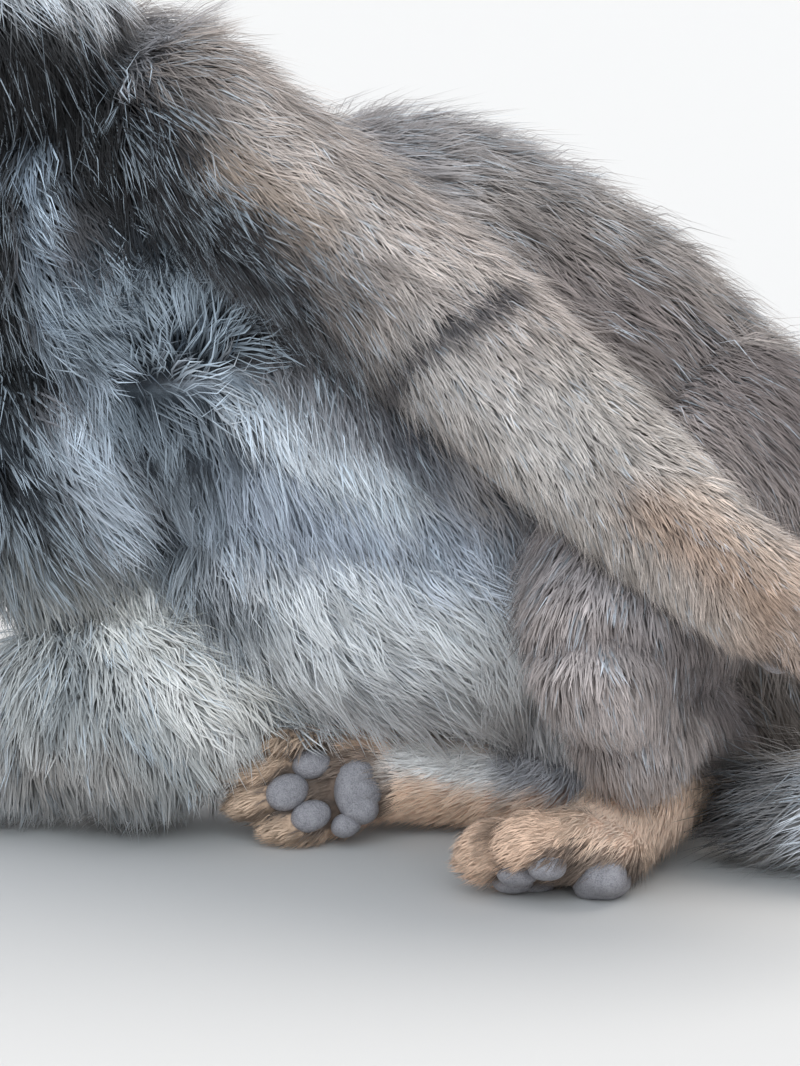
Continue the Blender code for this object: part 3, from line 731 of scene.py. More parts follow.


# Markings on the side turned to the front: regions, line in the front plane in mm, half width, colours of
# root and tip as 0 to 255, strength, and share of frosted hairs
# The blue cast of the pale colours under the body is painted cool shade.
MARKS = (
    # pale top of the back
    (BODY, ((82, 204), (44, 201), (14, 209), (0, 212)), 16.4, (74, 69, 70), (147, 142, 142), 0.9, 0.2),
    # flank beside the arm
    (BODY, ((44, 162), (66, 154), (88, 135)), 16.4, (66, 60, 61), (132, 122, 120), 0.8, 0.1),
    # mottled grey below the chest
    (UNDER, ((-68, 130), (-55, 124), (-38, 108), (-55, 91)), 18.1, (54, 60, 67), (142, 154, 165), 1.1, 0.3),
    # pale belly, its blue cast a painted cool shade
    (UNDER, ((-30, 102), (-11, 99), (5, 99), (22, 86)), 15.9, (126, 138, 154), (200, 210, 226), 1.1, 0.2),
    # white of the groin
    (UNDER, ((-27, 71), (-5, 69), (22, 69), (36, 56)), 15.3, (228, 236, 246), (252, 254, 255), 1.4, 0.0),
    # lower edge of the groin
    (UNDER, ((-36, 49), (-5, 47), (22, 43), (44, 38)), 12.1, (220, 224, 230), (255, 252, 252), 1.2, 0.0),
    # dark chest and armpit
    (BODY, ((-110, 225), (-88, 210), (-66, 190), (-47, 175), (-30, 162)), 23.6,
     (6, 6, 7), (31, 31, 33), 1.5, 0.16),
    # dark hair of the body behind the elbow
    (BODY, ((-30, 165), (-16, 153), (-4, 142)), 11.0, (17, 16, 18), (55, 55, 58), 1.2, 0.3),
    # shade under the elbow
    (BODY, ((-1, 136), (4, 124), (7, 110)), 6.0, (42, 43, 48), (88, 89, 96), 1.1, 0.1),
    # dark strands left of the ridge
    (UNDER, ((-112, 138), (-102, 116), (-96, 93)), 15.9, (8, 9, 11), (46, 53, 61), 1.4, 0.42),
    # dark strands over the chest
    (UNDER, ((-112, 195), (-107, 162), (-101, 141)), 12.6, (3, 4, 5), (15, 18, 21), 1.5, 0.26),
    # tips of the fan over the dark chest
    (UNDER, ((-81, 160), (-64, 164), (-47, 161)), 11.5, (8, 9, 12), (78, 90, 102), 1.3, 0.6),
    # base of the fan
    (UNDER, ((-75, 141), (-68, 144), (-55, 145), (-45, 139)), 4.7, (58, 67, 77), (204, 216, 230), 1.4, 0.5),
    # parting under the fan
    (UNDER, ((-75, 137), (-62, 138), (-48, 136)), 2.2, (12, 14, 17), (54, 62, 70), 1.3, 0.1),
    # pale band below the fan
    (UNDER, ((-55, 142), (-42, 136), (-34, 129), (-26, 123), (-17, 118), (-7, 113), (3, 107)), 5.5,
     (132, 145, 160), (240, 246, 252), 1.4, 0.4),
    # upper pale ridge
    (UNDER, ((-95, 193), (-93, 173), (-90, 157), (-87, 148), (-82, 141)), 3.3,
     (46, 54, 63), (138, 151, 165), 1.3, 0.4),
    # from the fan to the lower ridge
    (UNDER, ((-74, 139), (-78, 130), (-81, 122)), 2.2, (84, 95, 107), (184, 197, 210), 1.2, 0.4),
    # lower pale ridge
    (UNDER, ((-87, 121), (-84, 116), (-80, 112), (-78, 104), (-73, 94), (-68, 83), (-58, 77),
     (-46, 68), (-38, 63), (-29, 49)), 4.9, (100, 112, 126), (206, 215, 226), 1.4, 0.35),
    # painted shade in hollows of the mottled grey
    (UNDER, ((-68, 136), (-61, 131)), 4.1, (14, 16, 20), (48, 54, 62), 1.2, 0.15),
    (UNDER, ((-66, 121), (-64, 116)), 2.7, (16, 18, 22), (50, 56, 64), 1.1, 0.15),
    (UNDER, ((-54, 120), (-50, 114)), 3.6, (18, 20, 24), (54, 60, 68), 1.1, 0.15),
    (UNDER, ((-42, 122), (-37, 118)), 2.7, (26, 29, 34), (64, 71, 80), 1.0, 0.15),
    (UNDER, ((-65, 100), (-64, 95)), 2.5, (20, 22, 26), (58, 64, 72), 1.0, 0.15),
    # painted shade in a hollow beside the lower ridge
    (UNDER, ((-66, 84), (-61, 81)), 2.5, (14, 16, 20), (46, 52, 58), 1.2, 0.1),
    # dark patches on the belly
    (UNDER, ((-22, 104), (-15, 109)), 1.9, (60, 67, 75), (108, 117, 128), 0.9, 0.1),
    (UNDER, ((-31, 96), (-26, 94)), 2.5, (56, 62, 70), (102, 111, 122), 0.9, 0.1),
    (UNDER, ((-28, 88), (-25, 82)), 1.9, (66, 72, 80), (116, 124, 134), 0.8, 0.1),
    (UNDER, ((7, 93), (9, 90)), 2.2, (66, 72, 80), (116, 124, 134), 0.8, 0.1),
    # painted shadow under the trunk, between belly and elbow
    (UNDER, ((-46, 77), (-33, 73)), 4.7, (46, 51, 57), (98, 107, 118), 1.1, 0.15),
    # spots on the groin
    (UNDER, ((-31, 62), (-30, 62)), 2.2, (74, 79, 84), (126, 134, 144), 0.9, 0.0),
    (UNDER, ((-21, 66), (-20, 66)), 1.6, (74, 79, 84), (126, 134, 144), 1.0, 0.0),
    (UNDER, ((-7, 67), (-6, 67)), 1.6, (74, 79, 84), (126, 134, 144), 1.0, 0.0),
    # dark line over the foot
    (UNDER, ((0, 45), (14, 43)), 2.5, (84, 87, 90), (143, 146, 150), 0.8, 0.0),
    # pale elbow and forearm
    (LOW, ((-110, 56), (-88, 61), (-63, 53), (-41, 34)), 23.6, (114, 118, 119), (202, 204, 203), 1.5, 0.25),
    # palest part of the elbow
    (LOW, ((-82, 73), (-68, 69), (-55, 64), (-41, 47)), 8.2, (206, 206, 202), (255, 252, 246), 1.2, 0.2),
    # lower edge of the forearm
    (LOW, ((-110, 21), (-82, 19), (-49, 21)), 7.7, (96, 101, 106), (172, 178, 182), 0.9, 0.1),
    # pale fringe below the elbow
    (LOW, ((-68, 56), (-55, 45), (-44, 36)), 6.0, (196, 197, 196), (252, 250, 246), 1.1, 0.1),
    # dark parting
    (LOW, ((-89, 67), (-86, 53), (-93, 42)), 3.3, (67, 73, 78), (126, 134, 140), 0.7, 0.1),
    # dark inner side of the upper arm
    (ARM, ((-110, 234), (-85, 212), (-60, 186), (-38, 162)), 25.2, (15, 14, 16), (48, 47, 50), 1.4, 0.3),
    # dark back of the elbow
    (ARM, ((-38, 162), (-19, 146), (0, 132)), 14.2, (25, 24, 28), (74, 73, 76), 1.2, 0.35),
    # warm patch on the upper arm
    (ARM, ((-44, 198), (-27, 190), (-19, 182)), 6.0, (126, 110, 98), (210, 187, 168), 0.6, 0.1),
    # painted highlight along the lit top of the upper arm
    (ARM, ((-41, 209), (-25, 197), (-11, 182), (8, 171), (22, 165)), 4.9,
     (158, 148, 142), (229, 216, 208), 0.6, 0.15),
    # pale forearm
    (ARM, ((11, 143), (27, 130), (44, 116)), 11.0, (147, 144, 142), (233, 225, 220), 0.7, 0.15),
    # dark bar in the crook of the elbow
    (ARM, ((31, 160), (19, 154), (9, 147), (1, 139), (-1, 130)), 3.3, (42, 41, 44), (90, 86, 88), 1.2, 0.05),
    # tan wrist
    (ARM, ((71, 102), (82, 95), (101, 80)), 9.3, (118, 93, 78), (191, 160, 138), 0.8, 0.1),
    # faint bracelet
    (ARM, ((55, 116), (63, 108), (66, 99)), 3.0, (101, 91, 88), (153, 140, 132), 0.5, 0.05),
    # lit upper edge of the wrist
    (ARM, ((79, 108), (93, 97), (110, 83)), 3.6, (178, 150, 130), (239, 215, 196), 0.5, 0.1),
    # knee
    (LEG, ((38, 88), (55, 83), (71, 75)), 11.0, (92, 88, 90), (176, 168, 168), 1.0, 0.14),
    # shin
    (LEG, ((44, 67), (55, 53), (66, 42)), 12.1, (112, 104, 104), (204, 192, 188), 1.1, 0.2),
    # shade behind the shin
    (LEG, ((79, 58), (90, 47), (101, 47)), 8.2, (61, 57, 60), (113, 106, 108), 0.8, 0.1),
    # hock and foot
    (LEG, ((55, 19), (71, 19), (86, 17), (95, 12)), 6.8, (255, 200, 168), (255, 230, 208), 1.4, -0.2),
    # belly hair over the top of the far foot
    (FAR_LEG, ((-1, 37), (14, 35), (27, 33)), 4.7, (214, 212, 212), (252, 248, 244), 1.5, 0.0),
    # shaded part of the far foot, behind the near foot
    (FAR_LEG, ((29, 34), (38, 32), (52, 28)), 6.0, (128, 128, 134), (196, 194, 198), 1.4, 0.0),
    # haunch like the back
    (LEG, ((66, 165), (90, 149), (110, 124)), 17.0, (64, 58, 58), (134, 124, 122), 1.5, 0.1),
    # pale ruff above the chest
    (BODY, ((-121, 246), (-93, 246), (-71, 246)), 7.1, (176, 182, 190), (242, 246, 252), 1.2, 0.2),
)


def toe_crease_shade(points):
    """Where shade is painted: 1 in the three lines between the toes of each paw, from a little ahead of the
    ball to the tips.
    """
    mask = np.zeros(len(points))
    for ball, turn, toe_length, _, spread in PAWS.values():
        side, ahead, _ = turn
        local = (points - spot(ball)) / MM
        near = np.linalg.norm(local, axis=1) < toe_length * 1.3
        across, lead = local @ side / spread, local @ ahead
        for line in CREASES:
            place = np.exp(-(((across - line * (0.8 + 0.007 * lead)) / 1.2) ** 2))
            mask = np.maximum(mask, place * near * fade(lead, 3, 12))
    return mask


def coat_colours(points, normals, region, way):
    """Colour of the hair at its root and its tip, from the part of the body and its markings."""
    place = front(points)
    facing = fade(-normals @ VIEW_WAY, -0.25, 0.2)
    frontal = fade(-normals @ VIEW_WAY, 0.05, 0.45)
    frost = np.full(len(points), FROSTED)
    hair = Hair(len(points), TAUPE, GREIGE)
    lay = hair.lay
    mottle = ripple(points, 0.016, 21) * 0.5 + ripple(points, 0.007, 22) * 0.5

    def on(*names):
        """1 on these regions and 0 off them."""
        return among(region, names).astype(float)

    body = on(*BODY)
    lay(body * fade(mottle, 0.0, 0.9) * 0.55, (82, 73, 70), (130, 119, 113))
    bands = np.sin(place[:, 0] * 0.2 - place[:, 1] * 0.07 + 1.3 * ripple(points, 0.05, 23))
    broken = fade(ripple(points, 0.03, 25), -0.8, 0.2)
    lay(body * fade(bands, 0.05, 0.75) * broken * (0.9 - 0.55 * facing), (44, 40, 38), (78, 71, 66))
    lay(body * fade(-bands, 0.5, 1.0) * (0.4 - 0.25 * facing), (118, 106, 98), (195, 179, 166))
    spine = stroke(points[:, [0, 2]] / MM, [[p[0], p[2]] for p in spot(PATHS["trunk"][0]) / MM], 22)
    lay(body * fade(normals[:, 1], 0.4, 0.9) * spine * 0.8, (48, 43, 40), (84, 74, 69))
    lay(body * frontal * fade(place[:, 0], 35, -5), (88, 88, 92), (160, 158, 162))
    height = points[:, 2] - 0.12 * points[:, 0] + 0.008 * mottle
    throat = body * fade(-normals[:, 1], 0.15, 0.75) * fade(height, 0.226, 0.268)
    lay(throat, (178, 174, 168), (238, 233, 226))

    # Limbs
    arm = on("arm_left")
    lay(arm, (118, 108, 103), (195, 183, 176))
    lay(arm * fade(way, 0.38, 0.5), (127, 120, 116), (200, 191, 184))
    lay(arm * fade(way, 0.6, 0.82), (122, 106, 96), (193, 171, 156))
    rings = np.exp(-(((way - 0.2) / 0.03) ** 2)) + np.exp(-(((way - 0.3) / 0.025) ** 2))
    lay(arm * rings * (1 - facing) * 0.7, (63, 57, 54), (109, 98, 93))
    lay(arm * fade(mottle, 0.2, 1.0) * 0.3, (101, 91, 88), (158, 144, 138))

    arm = on("arm_right")
    lay(arm, (109, 101, 98), (185, 175, 168))
    lay(arm * frontal * fade(way, 0.34, 0.2), (69, 69, 72), (122, 124, 128))
    rings = fade(np.sin(way * 55), 0.3, 0.95) * fade(way, 0.3, 0.4)
    lay(arm * rings * (1 - facing * fade(place[:, 0], -112, -100)) * 0.6, (67, 61, 58), (116, 106, 100))
    lay(arm * fade(way, 0.72, 0.92), (126, 106, 92), (210, 187, 168))

    for name in ("leg_left", "leg_right"):
        leg = on(name)
        lay(leg, (97, 89, 88), (166, 155, 151))
        lay(leg * fade(mottle, 0.0, 0.9) * 0.5, (76, 69, 68), (126, 116, 112))
        bars = fade(np.sin(way * 34 + 0.6 * mottle), 0.5, 0.95)
        bars = bars * fade(way, 0.05, 0.12) * fade(way, 0.62, 0.55)
        lay(leg * bars * (1 - facing * 0.9) * 0.6, (57, 52, 50), (99, 89, 86))
        lay(leg * fade(way, 0.6, 0.74), (144, 121, 106), (224, 196, 172))
        lay(leg * fade(way, 0.8, 0.92), (178, 144, 122), (255, 218, 190))
        frost = frost - (frost + 0.2) * leg * fade(way, 0.56, 0.64)
    leg = on("leg_right")
    lay(leg * frontal * fade(way, 0.6, 0.4), (200, 200, 200), (252, 250, 248))
    lay(leg * fade(way, 0.6, 0.7) * fade(way, 0.9, 0.8) * 0.9, (255, 190, 154), (255, 224, 196))
    lay(leg * fade(way, 0.84, 0.9), (152, 126, 106), (228, 198, 172))

    tail = on("tail")
    lay(tail, (120, 115, 111), (210, 203, 196))
    # painted cool shade: a bluish cast on the side of the tail turned to the front
    lay(tail * frontal * 0.8, (114, 117, 122), (206, 211, 219))
    rings = fade(np.sin(way * 42), 0.25, 0.9)
    lay(tail * rings * 0.7, (66, 63, 62), (120, 114, 110))
    lay(tail * fade(way, 0.93, 0.99), (44, 45, 48), (76, 74, 74))
    # painted shade in the creases between the toes
    lay(toe_crease_shade(points) * 0.75, (60, 50, 42), (84, 71, 60))
    # brownish fur round the pads, darkened by painted shade in the crevices there
    lay(by_pads(points, 1.4) * 0.8, (58, 53, 52), (94, 85, 80))

    for names, path, width, root_colour, tip_colour, strength, frosted in MARKS:
        uneven = 1 + 0.22 * mottle
        mask = np.clip(stroke(place, path, width * uneven) * strength, 0, 1) * facing * on(*names)
        if names == UNDER:
            mask = mask * (1 - on("leg_right") * fade(way, 0.55, 0.64))
        lay(mask, root_colour, tip_colour)
        frost = frost + (frosted - frost) * mask
    return hair.root, hair.tip, frost


def head_colours(points, local):
    """Tabby face: pale muzzle and chin, lines on the forehead and cheeks, dark rims to the eyes."""
    x, y, z = np.abs(local[:, 0]), local[:, 1], local[:, 2]
    hair = Hair(len(points), TAUPE, FACE_GREY)
    lay = hair.lay
    mottle = ripple(points, 0.006, 31)

    lay(fade(mottle, 0.1, 1.0) * 0.4, (78, 72, 68), (120, 112, 106))
    lay(fade(y, 26, 40) * fade(z, -4, 2), (120, 96, 80), (176, 150, 130))
    place = np.stack((x, y, z), -1)
    for path, width in (
        (((5, 33, 15), (6, 26, 27), (4.5, 12, 35), (5, -6, 38)), 2.1),
        (((14, 27, 18), (12.5, 22, 26), (11, 10, 32), (13, -6, 34)), 2.1),
        (((0, 24, 29), (0, 8, 36), (0, -14, 38)), 1.4),
        (((27, 19, 3), (33, 8, -2), (37, -6, -8)), 1.8),
        (((24, 19, -8), (31, 8, -15), (36, -6, -22)), 1.8),
    ):
        lay(np.clip(stroke(place, path, width) * 1.2, 0, 1), (34, 30, 28), (62, 56, 52))
    lay(fade(y, 18, 34) * fade(-z, 3, 9), (186, 180, 172), (226, 220, 211))
    lay(fade(-z, 13, 22) * fade(y, -14, 10), (164, 160, 154), (216, 211, 203))
    past = lid_gap(points)
    lay(fade(past, 62, 34) * 0.75, (158, 152, 144), (214, 208, 198))
    lay(fade(past, 10, 6), (48, 42, 38), (92, 84, 76))
    return hair.root, hair.tip


def build_skin():
    """The whole skin as one mesh, and in work what the coat needs to know of it."""
    body, body_tris = joined((fused(body_parts(), *BODY_FACES), fused(paw_parts(), *PAW_FACES)))
    body[:, 2] = np.maximum(body[:, 2], SKIN_OFF * MM)
    head, head_tris = fused(head_parts(), *HEAD_FACES)
    head = clear_eyes(head)
    normals = normals_of(body, body_tris)
    fields = bone_fields(body)
    flow, longer = body_flow(body, normals, fields)
    seen_at = body + flow * (fields["hair"] * longer * SEEN_AT * MM)[:, None]
    root, tip, frost = coat_colours(seen_at, normals, fields["region"], fields["along"])
    work["body"] = {
        **fields, "verts": body, "tris": body_tris, "normals": normals, "flow": flow,
        "hair": fields["hair"] * longer, "root": root, "tip": tip, "frost": frost,
    }
    normals = normals_of(head, head_tris)
    flow, local = head_flow(head, normals)
    root, tip = head_colours(head, local)
    work["head"] = {
        "verts": head, "tris": head_tris, "normals": normals, "flow": flow, "local": local,
        "region": np.full(len(head), REGIONS.index("head")), "hair": head_hair(local),
        "root": root, "tip": tip,
    }
    verts, tris = joined(((body, body_tris), (head, head_tris)))
    mesh = new_mesh("skin", verts, tris)
    bare = {
        "body": SKIN_TONE + (FOOT_TONE - SKIN_TONE) * feet(fields), "head": np.full(len(head), FOOT_TONE)
    }
    shade = np.concatenate([blend(work[k]["root"], work[k]["tip"], bare[k]) for k in bare])
    paint_attribute(mesh, "coat", shade)
    return mesh


# ---- coat


def scatter(skin, density, rng):
    """Points spread over the skin, so many to the square mm, as weights on the corners of triangles."""
    tris, verts = skin["tris"], skin["verts"]
    a, b, c = (verts[tris[:, k]] for k in range(3))
    area = np.linalg.norm(np.cross(b - a, c - a), axis=1) / 2 / MM**2
    want = area * density[tris].mean(1)
    count = int(want.sum())
    total = np.cumsum(want)
    pick = np.searchsorted(total, (np.arange(count) + rng.random(count)) / count * total[-1])
    pick = np.minimum(pick, len(tris) - 1)
    r, s = np.sqrt(rng.random(count)), rng.random(count)
    weights = np.stack((1 - r, r * (1 - s), r * s), 1)
    corner = tris[pick]

    def at(values):
        """What values by vertex come to at the points."""
        if values.ndim == 1:
            return (values[corner] * weights).sum(1)
        return (values[corner] * weights[..., None]).sum(1)

    return corner, at


def rooted(skin, density, sway, rng):
    """Roots of locks spread over the skin, with the normal and the way of the hair there, a little swayed."""
    corner, at = scatter(skin, density, rng)
    p, nrm = at(skin["verts"]), unit(at(skin["normals"]))
    flow = laid_flat(at(skin["flow"]), nrm)
    flow = unit(flow + np.cross(nrm, flow) * rng.normal(0, sway, len(p))[:, None])
    return corner, at, p, nrm, flow


def tree_of(points):
    """A search tree over the points, which finds the nearest of them."""
    tree = kdtree.KDTree(len(points))
    for k, point in enumerate(points):
        tree.insert(point, k)
    tree.balance()
    return tree


def nearest(points, tree):
    """For each point, the number of the tree's point that lies nearest."""
    return np.array([tree.find(p)[1] for p in points])


def clumps(p, spacing):
    """The guide lock that each lock belongs to: every so many locks, the nearest one."""
    guide = np.arange(0, len(p), spacing)
    return guide, nearest(p, tree_of(p[guide]))


SOFT = 0.38  # how far a lock is shaded as a round form, against the skin it lies on
STRAYS = 0.16  # share of locks that are longer, thinner and stand up
PATCH = 0.003  # size of a lock's place in the unwrap


def tufts(p, nrm, flow, hair, width, lift, droop, curl, clump, gather, rings, rng):
    """Locks as closed spindles: a point at the root, rings of three, and a point at the tip.

    The middle line leaves the skin at the lift angle and lies down along the flow towards its tip. Gravity
    and a wave bend it, and it is drawn towards the middle line of the nearest guide lock.
    """
    count, steps = len(p), rings + 1
    width, lift, droop, curl, clump = (np.broadcast_to(v, count) for v in (width, lift, droop, curl, clump))
    side = unit(np.cross(nrm, flow))
    phase = rng.uniform(0, 2 * math.pi, count)
    down = np.array((0.0, 0.0, -1.0))
    line = [p - nrm * LOCK_ROOT * MM]
    for k in range(steps):
        s = (k + 0.5) / steps
        angle = lift * (1.15 - 0.75 * s)
        way = flow * np.cos(angle)[:, None] + nrm * np.sin(angle)[:, None]
        way = way + down * (droop * s)[:, None] + side * (curl * np.sin(phase + 4.4 * s))[:, None]
        line.append(line[-1] + unit(way) * (hair / steps)[:, None])
    line = np.stack(line, 1)
    if gather:
        guide, own = gather
        target = line[guide][own]
        pull = (np.arange(steps + 1) / steps) ** 1.3
        line = line + (target - line) * pull[None, :, None] * clump[:, None, None]
    line[..., 2] = np.maximum(line[..., 2], HAIR_OFF * MM)
    way = unit(line[:, 2:] - line[:, :-2])
    flat = unit(np.cross(nrm[:, None], way))
    up = np.cross(way, flat)
    size = width[:, None, None] * np.linspace(1.0, 0.72, rings)[None, :, None]
    mid = line[:, 1:-1]
    ring = np.stack((mid + flat * size, mid + up * size * 0.55, mid - flat * size), 2)
    verts = np.concatenate((line[:, :1], ring.reshape(count, rings * 3, 3), line[:, -1:]), 1)
    lean = nrm[:, None, None] + 0.25 * way[:, :, None] + SOFT * np.stack((flat, up, -flat), 2)
    tip_lean = nrm[:, None] + 0.4 * way[:, -1:]
    shading = unit(np.concatenate((nrm[:, None], lean.reshape(count, rings * 3, 3), tip_lean), 1))
    t = np.concatenate(((0,), np.repeat(np.arange(1, rings + 1) / steps, 3), (1,)))
    across = np.concatenate(((0,), np.tile((1, 0, -1), rings), (0,)))
    return verts, shading, t, across, lock_faces(rings)


def lock_faces(rings):
    """Triangles of a lock: a fan from its root, bands between its rings of three, and a fan to its tip."""
    faces = []
    for i in range(3):
        j = (i + 1) % 3
        faces.append((0, 1 + j, 1 + i))
        for r in range(rings - 1):
            a, b = 1 + 3 * r + i, 1 + 3 * r + j
            faces += [(a, b, b + 3), (a, b + 3, a + 3)]
        last = 1 + 3 * (rings - 1)
        faces.append((last + i, last + j, 3 * rings + 1))
    return np.array(faces)


def lock_mesh(name, verts, shading, t, across, faces, root, tip, shade, place):
    """All locks of a piece as one mesh, with their colour and their patch on the unwrapped skin."""
    count, each = verts.shape[:2]
    tris = (faces[None] + (np.arange(count) * each)[:, None, None]).reshape(-1, 3)
    mesh = new_mesh(name, verts.reshape(-1, 3), tris)
    share = fade(t, 0.02, 0.85)[None, :, None]
    colour = (root[:, None] * (1 - share) + tip[:, None] * share) * shade[:, None, None]
    # a lock too bright for white keeps its hue
    colour = colour / np.maximum(colour.max(-1, keepdims=True), 1)
    paint_attribute(mesh, "coat", colour.reshape(-1, 3))
    uv = place[:, None] + PATCH * np.stack((across * 0.5, t), -1)[None]
    layer = mesh.uv_layers.new(name="OFBake")
    flat = uv.reshape(-1, 2)[tris.ravel()].astype(np.float32)
    layer.uv.foreach_set("vector", np.clip(flat, 0, 1).ravel())
    mesh.normals_split_custom_set_from_vertices(shading.reshape(-1, 3).astype(np.float32))
    return mesh


def unwrap(points, bone):
    """The skin unrolled: each bone has a column, with the angle round it across and the way along it up."""
    used, index = np.unique(bone, return_inverse=True)
    out = np.empty((len(points), 2))
    for k, b in enumerate(used):
        here = index == k
        _, _, a, c, *_ = BONES[b]
        line = unit(c - a)
        side = unit(np.cross(line, ASIDE))
        off = points[here] - a
        turn = np.arctan2(off @ np.cross(line, side), off @ side) / (2 * math.pi) + 0.5
        reach_along = (off @ line) / np.linalg.norm(c - a)
        out[here, 0] = (k + 0.02 + 0.94 * turn) / len(used)
        out[here, 1] = np.clip((reach_along + 0.6) / 2.2, 0.005, 0.99)
    return out


def unwrap_head(local):
    """The head unrolled round its middle: the angle round the way it faces, and how far forward."""
    turn = np.arctan2(local[:, 0], local[:, 2]) / (2 * math.pi) + 0.5
    return np.stack((0.02 + 0.95 * turn, np.clip((local[:, 1] + 50) / 110, 0.005, 0.99)), -1)


# Pieces of coat: regions, part of the way along them, rings, locks to a square mm in view and out of it, half
# width in mm, lift in degrees, droop, curl, pull to the guides, locks to a guide
COATS = {
    "coat_shoulders": (("trunk",), (0, 0.5), 1, 0.95, 0.45, 0.41, 32, 0.35, 0.30, 0.55, 10),
    "coat_rump": (("trunk",), (0.5, 1), 1, 0.85, 0.39, 0.43, 32, 0.35, 0.30, 0.55, 10),
    "coat_chest": (("chest",), (0, 1), 2, 1.35, 0.42, 0.32, 36, 0.25, 0.42, 0.72, 13),
    "coat_belly": (("belly",), (0, 1), 2, 1.06, 0.34, 0.33, 34, 0.25, 0.42, 0.72, 13),
    "coat_neck": (("neck", "ruff"), (0, 1), 1, 1.7, 0.95, 0.25, 30, 0.35, 0.4, 0.55, 12),
    "coat_upper_arm_left": (("arm_left",), (0, 0.36), 1, 2.1, 0.75, 0.28, 30, 0.15, 0.3, 0.5, 9),
    "coat_forearm_left": (("arm_left",), (0.36, 1), 1, 1.48, 0.5, 0.30, 28, 0.15, 0.22, 0.42, 8),
    "coat_arm_right": (("arm_right",), (0, 1), 1, 1.2, 0.4, 0.34, 32, 0.3, 0.3, 0.6, 10),
    "coat_thigh_left": (("leg_left",), (0, 0.34), 1, 1.4, 0.55, 0.33, 28, 0.5, 0.26, 0.5, 9),
    "coat_shank_left": (("leg_left",), (0.34, 1), 1, 1.45, 0.44, 0.31, 26, 0.5, 0.26, 0.42, 8),
    "coat_leg_right": (("leg_right",), (0, 1), 1, 1.25, 0.38, 0.33, 28, 0.2, 0.22, 0.45, 8),
    "coat_tail": (("tail",), (0, 1), 1, 1.5, 0.9, 0.27, 32, 0.3, 0.35, 0.5, 12),
}


def in_view(points, normals):
    """1 where the coat shows from the front, and falls to 0 beyond."""
    place = front(points)
    seen = fade(np.abs(place[:, 0]), 125, 112) * fade(-normals @ VIEW_WAY, -0.35, 0.0)
    return seen * fade(place[:, 1], 262, 248)


def coat_piece(name, settings):
    """One piece of the coat of the body: its locks spread over the skin of its regions."""
    regions, part, rings, seen, unseen, width, lift, droop, curl, clump, spacing = COATS[name]
    rng = np.random.default_rng(sum(map(ord, name)))
    skin = work["body"]
    wanted = among(skin["region"], regions) & (skin["along"] >= part[0]) & (skin["along"] <= part[1])
    clear = ~inside_head(skin["verts"], 1.0) & ~by_pads(skin["verts"], 0.85)
    view = in_view(skin["verts"], skin["normals"])
    # no hair under what lies flat on the ground
    above = fade(skin["verts"][:, 2] + 0.02 * (skin["normals"][:, 2] > -0.8), 0.002, 0.004)
    density = wanted * clear * above * (unseen + (seen - unseen) * view) * settings.density
    # short hair needs more locks than long hair to cover the skin
    density = density * np.clip(13 / np.maximum(skin["hair"], 4), 0.8, 1.5)
    corner, at, p, nrm, flow = rooted(skin, density, 0.16, rng)
    count = len(p)
    hair = at(skin["hair"]) * settings.length * rng.uniform(0.72, 1.12, count)
    close = view[corner].mean(1)
    wide = width * (1.25 - 0.25 * close) * rng.uniform(0.6, 1.2, count) * np.clip(hair / 12, 0.62, 1.0)
    rise = np.radians(lift) * rng.uniform(0.7, 1.25, count)
    stray = rng.random(count) < STRAYS
    hair, wide = hair * np.where(stray, 1.35, 1), wide * np.where(stray, 0.45, 1)
    rise = rise * np.where(stray, 1.6, 1)
    guide, own = clumps(p, spacing)
    verts, shading, t, across, faces = tufts(
        p, nrm, flow, hair * MM, wide * MM, rise, droop, curl, clump * rng.uniform(0.6, 1.2, count),
        (guide, own), rings, rng
    )
    root, tip = at(skin["root"]), at(skin["tip"])
    chance = 0.6 * rng.random(len(guide))[own] + 0.4 * rng.random(count)
    frosted = fade(at(skin["frost"]) - chance + 0.08, -0.04, 0.12)
    tip = blend(tip, FROST, 0.6 * frosted)
    shade = np.exp(rng.normal(0, 0.10, count) + rng.normal(0, 0.16, len(guide))[own])
    place = unwrap(p, skin["bone"][corner[:, 0]])
    return lock_mesh(name, verts, shading, t, across, faces, root, tip, shade, place)


# Coat of the head: locks to a square mm, how many more on the face, sway, lift in degrees, droop, curl, pull
# to the guides, and locks to a guide
HEAD_COAT = (0.87, 1.1, 0.12, 24, 0.15, 0.12, 0.35, 7)
# How far hair keeps off: degrees from the eyes' openings, mm from the nose, from the mouth and from the neck
OFF_EYES, OFF_NOSE, OFF_MOUTH, OFF_NECK = 6, 5.5, 1.7, 24


